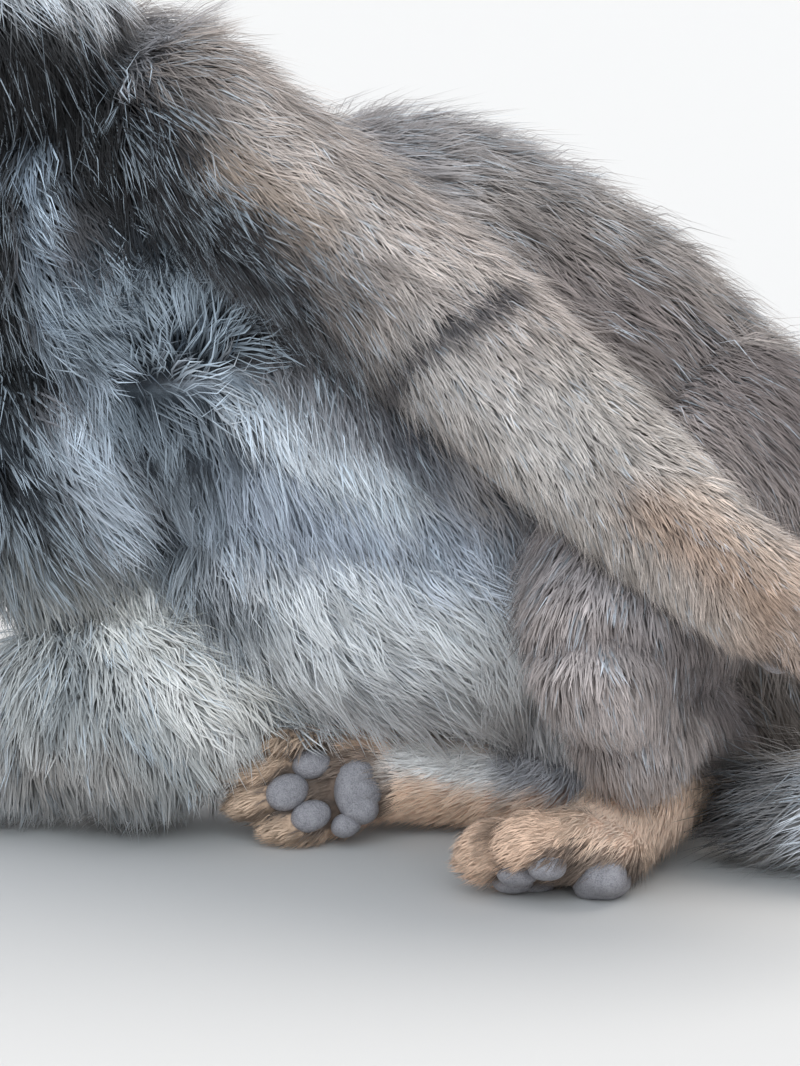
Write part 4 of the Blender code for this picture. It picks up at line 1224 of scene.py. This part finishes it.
def head_coat(settings):
    """The short coat of the head, clear of the eyes, the nose and the lines of the mouth."""
    rng = np.random.default_rng(77)
    skin = work["head"]
    local = skin["local"]
    dense, denser, sway, lift, droop, curl, clump, spacing = HEAD_COAT
    density = np.full(len(local), dense)
    density *= 1.0 + denser * fade(local[:, 1], -5, 22)
    density *= lid_gap(skin["verts"]) > OFF_EYES
    nose = np.linalg.norm((local - np.array((0, 50, -5.5))) / np.array((1.3, 1.2, 1.0)), axis=1)
    density *= nose > OFF_NOSE
    for path in mouth_paths():
        density *= line_distance(skin["verts"], path) > OFF_MOUTH * MM
    neck = spot(PATHS["neck"][0])
    below = (skin["verts"] - neck[0]) @ unit(neck[1] - neck[0]) > 4 * MM
    density *= ~(below & (line_distance(skin["verts"], neck) < OFF_NECK * MM))
    _, at, p, nrm, flow = rooted(skin, density * settings.density, sway, rng)
    count = len(p)
    hair = at(skin["hair"]) * rng.uniform(0.75, 1.15, count)
    wide = np.clip(0.14 + hair * 0.026, 0.16, 0.46) * rng.uniform(0.7, 1.2, count)
    rise = np.radians(lift) * rng.uniform(0.7, 1.2, count)
    verts, shading, t, across, faces = tufts(
        p, nrm, flow, hair * MM, wide * MM, rise, droop, curl, clump * fade(hair, 4, 10),
        clumps(p, spacing), 1, rng
    )
    shade = np.exp(rng.normal(0, 0.10, count))
    return lock_mesh(
        "coat_head", verts, shading, t, across, faces, at(skin["root"]), at(skin["tip"]), shade,
        unwrap_head(at(skin["local"]))
    )


# ---- eyes, lids, nose and mouth


def eyeball(centre, turn, colours, pupil):
    """A ball whose poles lie on the gaze, coloured by the angle off the gaze: pupil, iris and white.

    Its radius grows by a share of exp(-(angle off the gaze / 0.75) to the fourth), which makes the cornea.
    """
    a, b = ball_angles(96, 160)
    ball = np.stack((np.sin(a) * np.cos(b), np.cos(a) + 0 * b, np.sin(a) * np.sin(b)), -1)
    bulge = 1 + 0.05 * np.exp(-((a / 0.75) ** 4)) + 0 * b
    verts, tris = closed_grid(centre + (ball * bulge[..., None] * EYE_RADIUS * MM) @ turn)
    local = unit((verts - centre) @ turn.T)
    off = np.degrees(np.arccos(np.clip(local[:, 1], -1, 1)))
    x, z = local[:, 0], local[:, 2]
    iris, rim = colours
    fibres = sum(np.sin(np.arctan2(z, x) * k + k * k) for k in (9, 17, 31, 47)) / 4
    colour = blend(np.tile(iris, (len(verts), 1)), iris * 0.55, fade(off, 30, 47))
    colour = blend(colour, rim, fade(off, 22, 12) * 0.45)
    colour = colour * (1 + 0.22 * fibres * fade(off, 4, 18))[:, None]
    colour = blend(colour, tone(30, 22, 16), fade(off, 47, 51))
    slit = np.sqrt((x / pupil) ** 2 + (z / 0.5) ** 2)
    colour = blend(colour, tone(6, 6, 7), fade(slit, 1.08, 0.96) * (local[:, 1] > 0))
    return verts, tris, colour


def lid(centre, turn, side):
    """A slim rounded band round the eye: its inner edge follows the opening, its outer lies in the skin.

    A section of points, each an angle past the edge of the opening and a height over the eyeball, is carried
    round the gaze.
    """
    cols = 96
    b = around(cols)
    gap = np.radians(eye_opening(b, side))
    section = ((0.0, -0.4), (-0.012, 0.12), (0.0, 0.4), (0.03, 0.58), (0.08, 0.62), (0.12, 0.4), (0.11, -0.5))
    grid = []
    for spread_out, rise in section:
        a = gap + spread_out
        ring = np.stack((np.sin(a) * np.cos(b), np.cos(a), np.sin(a) * np.sin(b)), -1)
        grid.append(ring * (EYE_RADIUS + rise) * MM)
    grid = np.stack(grid + grid[:1], 0)
    rows = len(section)
    tris = grid_triangles(rows + 1, cols) % (rows * cols)
    return centre + grid[:-1].reshape(-1, 3) @ turn, tris


def nose_form():
    """A shield with a rounded front: wide above, narrow below, and a comma of a nostril on each side.

    Rings of radius r up to 1, stretched to its half width and half height, stand forward by the root of 1
    less r squared. A bell-shaped dent makes each nostril, and a narrow one makes the groove in the middle.
    """
    rows, cols = 22, 64
    r = np.sin(np.linspace(0.03, 1, rows) * math.pi / 2)[:, None]
    b = around(cols)[None]
    wide = 5.9 * (1 + 0.13 * np.sin(b)) * (1 - 0.25 * fade(-np.sin(b), 0.3, 1.0))
    tall = np.where(np.sin(b) > 0, 3.5, 4.9)
    x, z = wide * np.cos(b) * r, tall * np.sin(b) * r
    y = 3.4 * np.sqrt(np.clip(1 - r**2 * 0.985, 0, 1)) + 0 * b
    for side in (-1, 1):
        out = x - side * 2.9
        y = y - 2.3 * np.exp(-((out / 1.25) ** 2) - ((z + 0.9 + 0.25 * side * out) / 0.85) ** 2)
    y = y - 0.7 * np.exp(-((x / 0.35) ** 2)) * fade(-z, -0.5, 1.5)
    face = np.stack((x, y, z), -1)
    back = face[-1:] * np.array((0.9, 1, 0.9)) + np.array((0, -3.0, 0))
    grid = np.concatenate((face, back, back * np.array((0.4, 1, 0.4))))
    turn = axes((0, 1, -0.12), (0, 0, 1))
    return closed_grid(head_spot(grid @ turn + np.array((0, 49.6, -5.2))))


def mouth_paths():
    """The cleft under the nose and the two curves of the lips, as lines laid on the skin."""
    skin = work["head"]
    tree = tree_of(skin["verts"])
    lines = [((0, 52, -9.5), (0, 53, -12.5), (0, 51, -17.8))]
    for side in (-1, 1):
        lines.append((
            (0, 51, -17.8), (side * 2.4, 50.6, -19.6), (side * 5.0, 49.2, -19.8), (side * 8.0, 46.6, -18.2),
            (side * 11.2, 42, -16.2), (side * 14.5, 36, -13.8),
        ))
    for line in lines:
        path, _ = smooth_path(np.array(line, float), np.zeros((len(line), 1)), 6)
        found = nearest(head_spot(path), tree)
        laid = skin["verts"][found] + skin["normals"][found] * 0.00045
        for _ in range(4):
            laid[1:-1] = (laid[:-2] + laid[1:-1] + laid[2:]) / 3
        yield laid


def mouth_lines():
    """Fine cords along the lines of the mouth, thinner at their ends."""
    parts = []
    for laid in mouth_paths():
        size = np.full(len(laid), 0.5 * MM)
        size[-3:] *= (0.85, 0.6, 0.35)
        parts.append(tube(laid, size, 10, 2))
    return joined(parts)


# ---- ears


def ear_grid(side, width, depth, height, thick):
    """A curved leaf with thickness: at each height the outer arc and the inner arc close into one ring.

    An arc runs 98 degrees to each side. Its half width and its depth follow a sine up the leaf and are drawn
    in towards the tip, and the inner arc is smaller by the thickness of the rim.
    """
    rows, half = 30, 22
    v = np.linspace(0, 1, rows)[:, None]
    arc = np.radians(np.linspace(-98, 98, half))[None]
    bow = 0.35 + 1.1 * np.sin(np.pi * (0.08 + 0.75 * v))
    lean_in = (1 - 0.5 * v) * np.sqrt(1 - 0.97 * v**3)
    w, d = width * bow * lean_in, depth * bow * lean_in
    rim = thick * (1 - 0.55 * v)
    outer = np.stack((w * np.sin(arc), -d * np.cos(arc), height * v + 0 * arc), -1)
    inner = np.stack(((w - rim) * np.sin(arc), -(d - rim) * np.cos(arc), height * v * 0.985 + 0 * arc), -1)
    ring = np.concatenate((outer, inner[:, ::-1]), 1)
    ring[..., 1] += 2.0 * v**2
    lean = Matrix.Rotation(math.radians(15 * side), 3, "Y")
    fan = Matrix.Rotation(math.radians(-16 * side), 3, "Z")
    nod = Matrix.Rotation(math.radians(-6), 3, "X")
    turn = np.array(lean @ nod @ fan)
    place = np.array((side * EAR_PLACE[0], EAR_PLACE[1], EAR_PLACE[2] - 16))
    return head_spot(ring @ turn.T + place), half


EAR_SIZE = (16.6, 11.0, 51.5, 1.3)  # half width, depth, height and thickness of the rim, in mm


def ear_piece(side):
    """The leaf of an ear, and its colours: the outer face darker than the inner."""
    grid, half = ear_grid(side, *EAR_SIZE)
    verts, tris = closed_grid(grid)
    face = np.where(np.arange(grid.shape[1])[:, None] >= half, tone(144, 120, 110), tone(112, 100, 93))
    colour = np.tile(face, (len(grid), 1))
    return verts, tris, np.concatenate((colour, colour[:1], colour[-1:]))


# Hair of an ear: locks, shortest and longest in mm, half width, lift, colours of root and tip, place across
# the unwrapped ear
EAR_HAIR = {
    "back": (3400, 4.0, 6.5, 0.3, 20, (70, 62, 56), (140, 126, 116), 0),
    "front": (2600, 3.5, 6.5, 0.23, 20, (124, 110, 101), (200, 190, 180), 0.33),
    "wisp": (760, 9, 15, 0.18, 58, (190, 184, 176), (232, 230, 226), 0.66),
}


def ear_places(kind, side, count, rng):
    """Places of locks, as shares of the way up the ear and across it."""
    if kind == "back":
        return 1 - np.sqrt(rng.random(count) * 0.985), rng.uniform(0.01, 0.99, count)
    if kind == "front":
        v = 0.04 + 0.93 * (1 - np.sqrt(rng.random(count)))
        edge = np.where(rng.random(count) < 0.5, rng.uniform(0.0, 0.16, count), rng.uniform(0.84, 1.0, count))
        return v, np.where(rng.random(count) < 0.4, edge, rng.random(count))
    v = 0.12 + 0.5 * rng.random(count)
    inner_edge = rng.uniform(0.74, 1.0, count)
    a = inner_edge if side < 0 else 1 - inner_edge
    return v, np.where(rng.random(count) < 0.25, 1 - a, a)


def ear_locks(side):
    """Short hair up the back of the ear and inside it, and long pale wisps across its mouth."""
    rng = np.random.default_rng(90 + side)
    grid, half = ear_grid(side, *EAR_SIZE)
    rows = len(grid)
    out = []
    for kind, (count, short, long, wide, rise, root, tip, column) in EAR_HAIR.items():
        v, a = ear_places(kind, side, count, rng)
        cols = grid[:, :half] if kind == "back" else grid[:, half:]
        fr, fa = v * (rows - 1), a * (half - 1)
        r0, a0 = np.minimum(fr.astype(int), rows - 2), np.minimum(fa.astype(int), half - 2)
        tr, ta = (fr - r0)[:, None], (fa - a0)[:, None]
        p00, p01 = cols[r0, a0], cols[r0, a0 + 1]
        p10, p11 = cols[r0 + 1, a0], cols[r0 + 1, a0 + 1]
        p = (p00 * (1 - tr) + p10 * tr) * (1 - ta) + (p01 * (1 - tr) + p11 * tr) * ta
        up, over = unit(p10 - p00), unit(p01 - p00)
        nrm = unit(np.cross(over, up))
        inwards = over * np.sign(0.5 - a)[:, None]
        flow = {"back": up, "front": unit(up + 0.3 * inwards), "wisp": unit(up * 0.9 + inwards * 0.5)}[kind]
        hair = rng.uniform(short, long, count)
        root, tip = np.tile(tone(*root), (count, 1)), np.tile(tone(*tip), (count, 1))
        if kind == "back":
            tip = blend(tip, tone(64, 58, 54), fade(v, 0.72, 0.95))
        verts, shading, t, across, faces = tufts(
            p, nrm, flow, hair * MM, wide * MM, np.radians(rise), 0, 0.1, 0, None, 1, rng
        )
        place = np.stack((0.02 + 0.3 * a + column, 0.01 + 0.96 * v), -1)
        out.append((verts, shading, root, tip, np.exp(rng.normal(0, 0.1, count)), place))
    verts, shading, root, tip, shade, place = (np.concatenate(x) for x in zip(*out))
    word = "left" if side < 0 else "right"
    return lock_mesh(f"coat_ear_{word}", verts, shading, t, across, faces, root, tip, shade, place)


# ---- pads and whiskers


def pad(centre, turn, size, lobes, cut):
    """A cushion: a flattened ball, its outline waved into lobes at the heel and drawn in at the front."""
    a, b = ball_angles(16, 36)
    heel = fade(-np.sin(b), 0.0, 0.9)
    outline = 1 + lobes * heel * (np.cos(3 * (b + math.pi / 2)) * 0.5 + 0.1) - cut * fade(np.sin(b), 0.2, 1.0)
    full = np.sin(a) ** 0.8
    flat = np.sign(np.cos(a)) * np.abs(np.cos(a)) ** 0.85
    grid = np.stack((full * np.cos(b) * outline, full * np.sin(b) * outline, flat + 0 * b), -1)
    return closed_grid(centre + (grid * np.array(size) * MM) @ turn)


# Toe pads: place across and lead ahead of the ball in mm, half width, half length, turn in degrees
TOE_PADS = {
    "usual": ((-12.0, 14.5, 4.3, 5.9, -12), (-4.5, 21.5, 4.4, 6.3, -4), (4.5, 21.5, 4.4, 6.3, 4),
              (12.0, 14.5, 4.3, 5.9, 12)),
    "hind_paw_right": ((-4.0, 12.4, 4.2, 6.0, 5), (3.2, 20.4, 5.1, 6.8, 18), (10.6, 14.4, 4.5, 6.3, 12),
                       (14.2, 4.6, 3.5, 4.8, 15)),
}
# Main pad: place across, lead, half width, half length
MAIN_PADS = {"usual": (0, -1.2, 11.2, 8.2), "hind_paw_right": (5.2, 1.4, 8.9, 6.9)}


def pad_spots(name):
    """Each pad of a paw: its middle in mm, axes, half sizes, lobes and cut."""
    ball, turn, _, flat, spread = PAWS[name]
    side, ahead, back = turn
    place, lead, wide, long = MAIN_PADS.get(name, MAIN_PADS["usual"])
    sole = flat - 3.6
    yield ball + side * place + ahead * lead - back * sole, turn, (wide, long, 5.2), 0.3, 0.2
    for lobe, far in ((-0.56, 0.8), (0.0, 1.0), (0.56, 0.8)):
        middle = ball + side * (place + lobe * wide) + ahead * (lead - 2.2 * far) - back * (sole + 0.3)
        yield middle, turn, (wide * 0.5, long * 0.7, 5.1), 0, 0
    spread = 1 if name in TOE_PADS else spread
    for place, lead, wide, long, turned in TOE_PADS.get(name, TOE_PADS["usual"]):
        tip = ball + side * place * spread + ahead * lead - back * (flat - 5)
        yield tip, axes(ahead + side * math.tan(math.radians(turned)), back), (wide, long, 4.3), 0.0, 0.12


def paw_pads(name):
    """The pads of a paw, pressed flat where they stand on the ground."""
    verts, tris = joined([pad(spot(middle), *form) for middle, *form in pad_spots(name)])
    verts[:, 2] = np.maximum(verts[:, 2], HAIR_OFF * MM)
    return verts, tris


def by_pads(points, spread):
    """Whether points lie on a sole within the outline of a pad made larger by a factor."""
    near = np.zeros(len(points), bool)
    for name in PAWS:
        for middle, turn, size, *_ in pad_spots(name):
            local = (points - spot(middle)) @ turn.T / MM
            inside = (local[:, 0] / size[0]) ** 2 + (local[:, 1] / size[1]) ** 2 < spread**2
            near |= inside & (np.abs(local[:, 2]) < 5.5)
    return near


def whiskers():
    """Tapering bristles from the whisker pads and the brows, bowed by their own weight."""
    rng = np.random.default_rng(5)
    parts = []

    def add(start, way, length, sag, radius):
        """start + way * length * t + sag * t squared, as t goes from 0 to 1."""
        t = np.linspace(0, 1, 9)[:, None]
        parts.append(bristle(start + way * length * t + np.array(sag) * t**2, radius, work["head"]))

    for side in (-1, 1):
        for row in range(4):
            for k in range(3 + (row in (1, 2))):
                start = np.array((side * (7 + 3.2 * k), 48.5 - 3.6 * k, -9.2 - 2.9 * row))
                length = rng.uniform(44, 62) * (0.75 + 0.08 * k)
                way = np.array((side, 0.30 - 0.22 * k, 0.12 - 0.14 * row))
                add(start, unit(way + rng.normal(0, 0.05, 3)), length, (0, -6, -9), 0.2)
        for k in range(3):
            start = np.array((side * (13 + 2.5 * k), 26, 19))
            way = unit(np.array((side * (0.35 + 0.2 * k), 0.35, 1.0)))
            add(start, way, 26 + 3 * k, (side * 5, -7, 0), 0.14)
    return joined(parts)


def bristle(path, radius, skin):
    """A tapering tube along a path given in the head's axes, rooted in the skin."""
    path = head_spot(path)
    gap = np.linalg.norm(skin["verts"] - path[0], axis=1)
    root = skin["verts"][gap.argmin()] - skin["normals"][gap.argmin()] * BRISTLE_ROOT * MM
    path = path + (root - path[0])
    size = radius * MM * np.linspace(1, 0.12, len(path))
    return tube(path, size, 6, 1)


# ---- materials


def node(tree, kind, **inputs):
    """A new node, with the values of some of its sockets."""
    made = tree.nodes.new("ShaderNode" + kind)
    for key, value in inputs.items():
        made.inputs[key.replace("_", " ")].default_value = value
    return made


def join(tree, start, output, end, socket):
    """A link from an output of one node to a socket of another."""
    tree.links.new(start.outputs[output], end.inputs[socket])


def textured(tree, kind, **inputs):
    """A texture on the piece's own coordinates."""
    grain = node(tree, kind, **inputs)
    where = tree.nodes.get("Texture Coordinate") or node(tree, "TexCoord")
    join(tree, where, "Object", grain, "Vector")
    return grain


def material(name, roughness, **values):
    """A new material, with its nodes and its shader, and values for the shader's sockets."""
    made = bpy.data.materials.new(name)
    made.use_nodes = True
    shader = made.node_tree.nodes["Principled BSDF"]
    shader.inputs["Roughness"].default_value = roughness
    for key, value in values.items():
        shader.inputs[key.replace("_", " ")].default_value = value
    return made, made.node_tree, shader


def painted(tree, shader, attribute, grain, amount):
    """The painted colour, made lighter and darker by fine noise."""
    paint = node(tree, "Attribute")
    paint.attribute_name = attribute
    noise = textured(tree, "TexNoise", Scale=grain, Detail=3)
    level = node(tree, "MapRange", To_Min=1 - amount, To_Max=1 + amount)
    join(tree, noise, "Fac", level, "Value")
    mix = node(tree, "VectorMath")
    mix.operation = "SCALE"
    join(tree, paint, "Color", mix, 0)
    join(tree, level, "Result", mix, "Scale")
    join(tree, mix, "Vector", shader, "Base Color")


def bumped(tree, shader, height, output, strength, depth, invert=False):
    """Relief from a texture, so many metres deep."""
    bump = node(tree, "Bump", Strength=strength, Distance=depth)
    bump.invert = invert
    join(tree, height, output, bump, "Height")
    join(tree, bump, "Normal", shader, "Normal")


def coat_material():
    """Soft hair in its painted colour."""
    made, tree, shader = material("coat_hair", 0.62, Specular_IOR_Level=0.25, Sheen_Weight=0.12)
    painted(tree, shader, "coat", 420, 0.16)
    return made


def skin_material():
    """Dull hide in its painted colour, with fine relief."""
    made, tree, shader = material("skin_hide", 0.85, Specular_IOR_Level=0.15)
    painted(tree, shader, "coat", 600, 0.25)
    bumped(tree, shader, textured(tree, "TexNoise", Scale=1400), "Fac", 0.6, 0.0004)
    return made


def leather_material(name, colour, dark, scale, roughness):
    """Pebbled bare skin: rounded cells, darker between them, in two colours given as 0 to 255."""
    made, tree, shader = material(name, roughness, Specular_IOR_Level=0.4)
    cells = textured(tree, "TexVoronoi", Scale=scale)
    noise = textured(tree, "TexNoise", Scale=scale * 0.2)
    ramp = node(tree, "ValToRGB")
    for element, position, value in zip(ramp.color_ramp.elements, (0.25, 0.75), (colour, dark)):
        element.position, element.color = position, (*tone(*value), 1)
    add, scale_down = node(tree, "Math"), node(tree, "Math")
    add.operation, scale_down.operation = "ADD", "MULTIPLY"
    scale_down.inputs[1].default_value = 0.48
    join(tree, cells, "Distance", add, 0)
    join(tree, noise, "Fac", add, 1)
    join(tree, add, 0, scale_down, 0)
    join(tree, scale_down, 0, ramp, "Fac")
    join(tree, ramp, "Color", shader, "Base Color")
    bumped(tree, shader, cells, "Distance", 0.7, 0.0003, True)
    return made


FLOOR_FLAT, FLOOR_RISE, FLOOR_WALL = 3.0, 2.5, 1.9  # metres: flat part, curved part, height


def backdrop():
    """A dish turned about the upright axis: flat at first, then a quarter ellipse up to a low wall."""
    t = np.linspace(0, math.pi / 2, 24)[1:]
    reach_out = np.concatenate((np.linspace(0.02, FLOOR_FLAT, 8), FLOOR_FLAT + FLOOR_RISE * np.sin(t)))
    height = np.concatenate((np.zeros(8), FLOOR_WALL * (1 - np.cos(t))))
    b = around(72)
    ring = np.stack((np.cos(b), np.sin(b), 0 * b), -1)
    grid = reach_out[:, None, None] * ring + height[:, None, None] * np.array((0, 0, 1.0))
    verts = np.concatenate((grid.reshape(-1, 3), ((0, 0, 0),)))
    i = np.arange(72)
    middle = np.stack((np.full(72, len(verts) - 1), i, (i + 1) % 72), -1)
    return verts, np.concatenate((grid_triangles(len(grid), 72)[:, ::-1], middle))


# ---- settings and operators


class CatCoatSettings(bpy.types.PropertyGroup):
    """How much hair there is, and how long"""

    density: FloatProperty(name="Density", description="Locks of hair, as a share of the usual number",
                           default=1.0, min=0.1, max=2.0, subtype="FACTOR")
    length: FloatProperty(name="Length", description="Length of hair, as a share of the usual length",
                          default=1.0, min=0.3, max=1.5, subtype="FACTOR")


class CatEyeSettings(bpy.types.PropertyGroup):
    """Colours of the eyes, and how wide the pupils are"""

    iris: FloatVectorProperty(name="Iris", description="Colour of the iris", subtype="COLOR", size=3,
                              default=tuple(tone(130, 130, 70)))
    centre: FloatVectorProperty(name="Iris centre", description="Colour of the iris near the pupil",
                                subtype="COLOR", size=3, default=tuple(tone(172, 152, 76)))
    pupil: FloatProperty(name="Pupil", description="Half width of the pupil over the eye's radius",
                         default=0.25, min=0.03, max=0.5, subtype="FACTOR")


class CatStageSettings(bpy.types.PropertyGroup):
    """Floor and light"""

    floor: FloatVectorProperty(name="Floor", description="Colour of the floor", subtype="COLOR", size=3,
                               default=(0.55, 0.54, 0.53))
    key: FloatProperty(name="Key light", description="Strength of the main light, in watts to a square metre",
                       default=1.75, min=0.0)
    sky: FloatProperty(name="Sky", description="Strength of the light from all round", default=1.15, min=0.0)


class CAT_OT_stage(bpy.types.Operator):
    """Camera, floor and soft lights"""

    bl_idname = "cat.stage"
    bl_label = "Stage"

    def execute(self, context):
        scene = context.scene
        settings = scene.cat_stage
        data = bpy.data.cameras.new("camera")
        data.sensor_width = 36
        data.lens = data.sensor_width * VIEW_DISTANCE / VIEW_HEIGHT
        camera = linked("camera", data)
        camera.location = Vector(VIEW_TARGET - VIEW_WAY * VIEW_DISTANCE)
        camera.rotation_euler = Vector(VIEW_WAY).to_track_quat("-Z", "Y").to_euler()
        scene.camera = camera
        for name, way, soft, power, colour in (
            ("key", (0.55, 0.25, 1.0), 0.9, settings.key, (1.0, 0.94, 0.86)),
            ("fill", (-0.15, -1.0, 0.27), 1.2, settings.key * 1.65, (0.78, 0.91, 1.0)),
        ):
            light = bpy.data.lights.new(name, "SUN")
            light.energy, light.angle, light.color = power, soft, colour
            linked(name, light).rotation_euler = Vector(way).to_track_quat("Z", "Y").to_euler()
        scene.world = bpy.data.worlds.new("studio")
        scene.world.use_nodes = True
        sky = scene.world.node_tree.nodes["Background"].inputs
        sky["Color"].default_value = (0.90, 0.94, 1.0, 1)
        sky["Strength"].default_value = settings.sky
        floor = linked("floor", new_mesh("floor", *backdrop()))
        made, *_ = material("floor_paint", 0.9, Base_Color=(*settings.floor, 1))
        floor.data.materials.append(made)
        scene.view_settings.view_transform = "Standard"
        return {"FINISHED"}


class CAT_OT_skin(bpy.types.Operator):
    """One skin over body, limbs, tail and head"""

    bl_idname = "cat.skin"
    bl_label = "Skin"

    def execute(self, context):
        flesh = [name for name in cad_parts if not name.startswith(("eye", "nose", "ear"))]
        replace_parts(add_piece("skin", build_skin(), skin_material()), *flesh)
        return {"FINISHED"}


class CAT_OT_coat(bpy.types.Operator):
    """Locks of hair over the skin, in pieces"""

    bl_idname = "cat.coat"
    bl_label = "Coat"

    def execute(self, context):
        settings = context.scene.cat_coat
        hair = coat_material()
        for name in COATS:
            add_piece(name, coat_piece(name, settings), hair)
        add_piece("coat_head", head_coat(settings), hair)
        return {"FINISHED"}


class CAT_OT_ears(bpy.types.Operator):
    """Ears: a curved leaf each, with short hair on the back and wisps in the mouth"""

    bl_idname = "cat.ears"
    bl_label = "Ears"

    def execute(self, context):
        hair, hide = coat_material(), skin_material()
        for word, side in (("left", -1), ("right", 1)):
            *form, colour = ear_piece(side)
            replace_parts(closed_piece(f"ear_leaf_{word}", form, "coat", hide, coat=colour), f"ear_{word}")
            add_piece(f"coat_ear_{word}", ear_locks(side), hair)
        return {"FINISHED"}


class CAT_OT_eyes(bpy.types.Operator):
    """Eyeballs with iris and pupil, and the lids round them"""

    bl_idname = "cat.eyes"
    bl_label = "Eyes"

    def execute(self, context):
        settings = context.scene.cat_eyes
        ball, tree, shader = material("eye_wet", 0.06, Coat_Weight=0.5, Coat_Roughness=0.02)
        painted(tree, shader, "iris", 900, 0.12)
        rim = leather_material("lid_rim", (62, 50, 44), (36, 28, 25), 900, 0.45)
        colours = np.array(settings.iris), np.array(settings.centre)
        for word, side, centre, turn in eye_frames():
            *form, colour = eyeball(centre, turn, colours, settings.pupil)
            piece = closed_piece(f"eyeball_{word}", form, "eyes", ball, iris=np.clip(colour, 0, 1))
            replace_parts(piece, f"eye_{word}")
            closed_piece(f"lid_{word}", lid(centre, turn, side), "nose_leather", rim)
        return {"FINISHED"}


class CAT_OT_nose(bpy.types.Operator):
    """Nose leather and the lines of the mouth"""

    bl_idname = "cat.nose"
    bl_label = "Nose and mouth"

    def execute(self, context):
        leather = leather_material("nose_skin", (160, 112, 100), (98, 66, 58), 1600, 0.42)
        dark = leather_material("lip_skin", (58, 44, 40), (30, 22, 20), 1200, 0.5)
        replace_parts(closed_piece("nose_shield", nose_form(), "nose_leather", leather), "nose")
        closed_piece("mouth", mouth_lines(), "nose_leather", dark)
        return {"FINISHED"}


class CAT_OT_pads(bpy.types.Operator):
    """The bare cushions under the four paws"""

    bl_idname = "cat.pads"
    bl_label = "Pads"

    def execute(self, context):
        leather = leather_material("pad_skin", (166, 163, 167), (116, 114, 119), 2400, 0.42)
        for name in PAWS:
            closed_piece(f"pads_{name}", paw_pads(name), "nose_leather", leather)
        return {"FINISHED"}


class CAT_OT_whiskers(bpy.types.Operator):
    """Whiskers and brow bristles"""

    bl_idname = "cat.whiskers"
    bl_label = "Whiskers"

    def execute(self, context):
        made, *_ = material("whisker", 0.35, Base_Color=(0.86, 0.86, 0.84, 1))
        closed_piece("whiskers", whiskers(), "coat", made)
        return {"FINISHED"}


STEPS = (CAT_OT_stage, CAT_OT_skin, CAT_OT_coat, CAT_OT_ears, CAT_OT_eyes, CAT_OT_nose, CAT_OT_pads,
         CAT_OT_whiskers)


class CAT_PT_panel(bpy.types.Panel):
    """Steps and settings of the cat"""

    bl_label = "Cat"
    bl_space_type = "VIEW_3D"
    bl_region_type = "UI"
    bl_category = "Cat"

    def draw(self, context):
        for name, group in SETTINGS.items():
            for setting in group.__annotations__:
                self.layout.prop(getattr(context.scene, name), setting)
        for step in STEPS:
            self.layout.operator(step.bl_idname)


SETTINGS = {"cat_coat": CatCoatSettings, "cat_eyes": CatEyeSettings, "cat_stage": CatStageSettings}
CLASSES = (*SETTINGS.values(), *STEPS, CAT_PT_panel)


def register():
    """Adds the classes, and the settings of the scene."""
    for cls in CLASSES:
        bpy.utils.register_class(cls)
    for name, group in SETTINGS.items():
        setattr(bpy.types.Scene, name, PointerProperty(type=group))


def unregister():
    """Takes away what register adds."""
    for name in SETTINGS:
        delattr(bpy.types.Scene, name)
    for cls in reversed(CLASSES):
        bpy.utils.unregister_class(cls)


def main():
    """Runs all steps in order."""
    register()
    for step in STEPS:
        getattr(bpy.ops.cat, step.bl_idname.split(".")[1])()


if __name__ == "__main__":
    main()
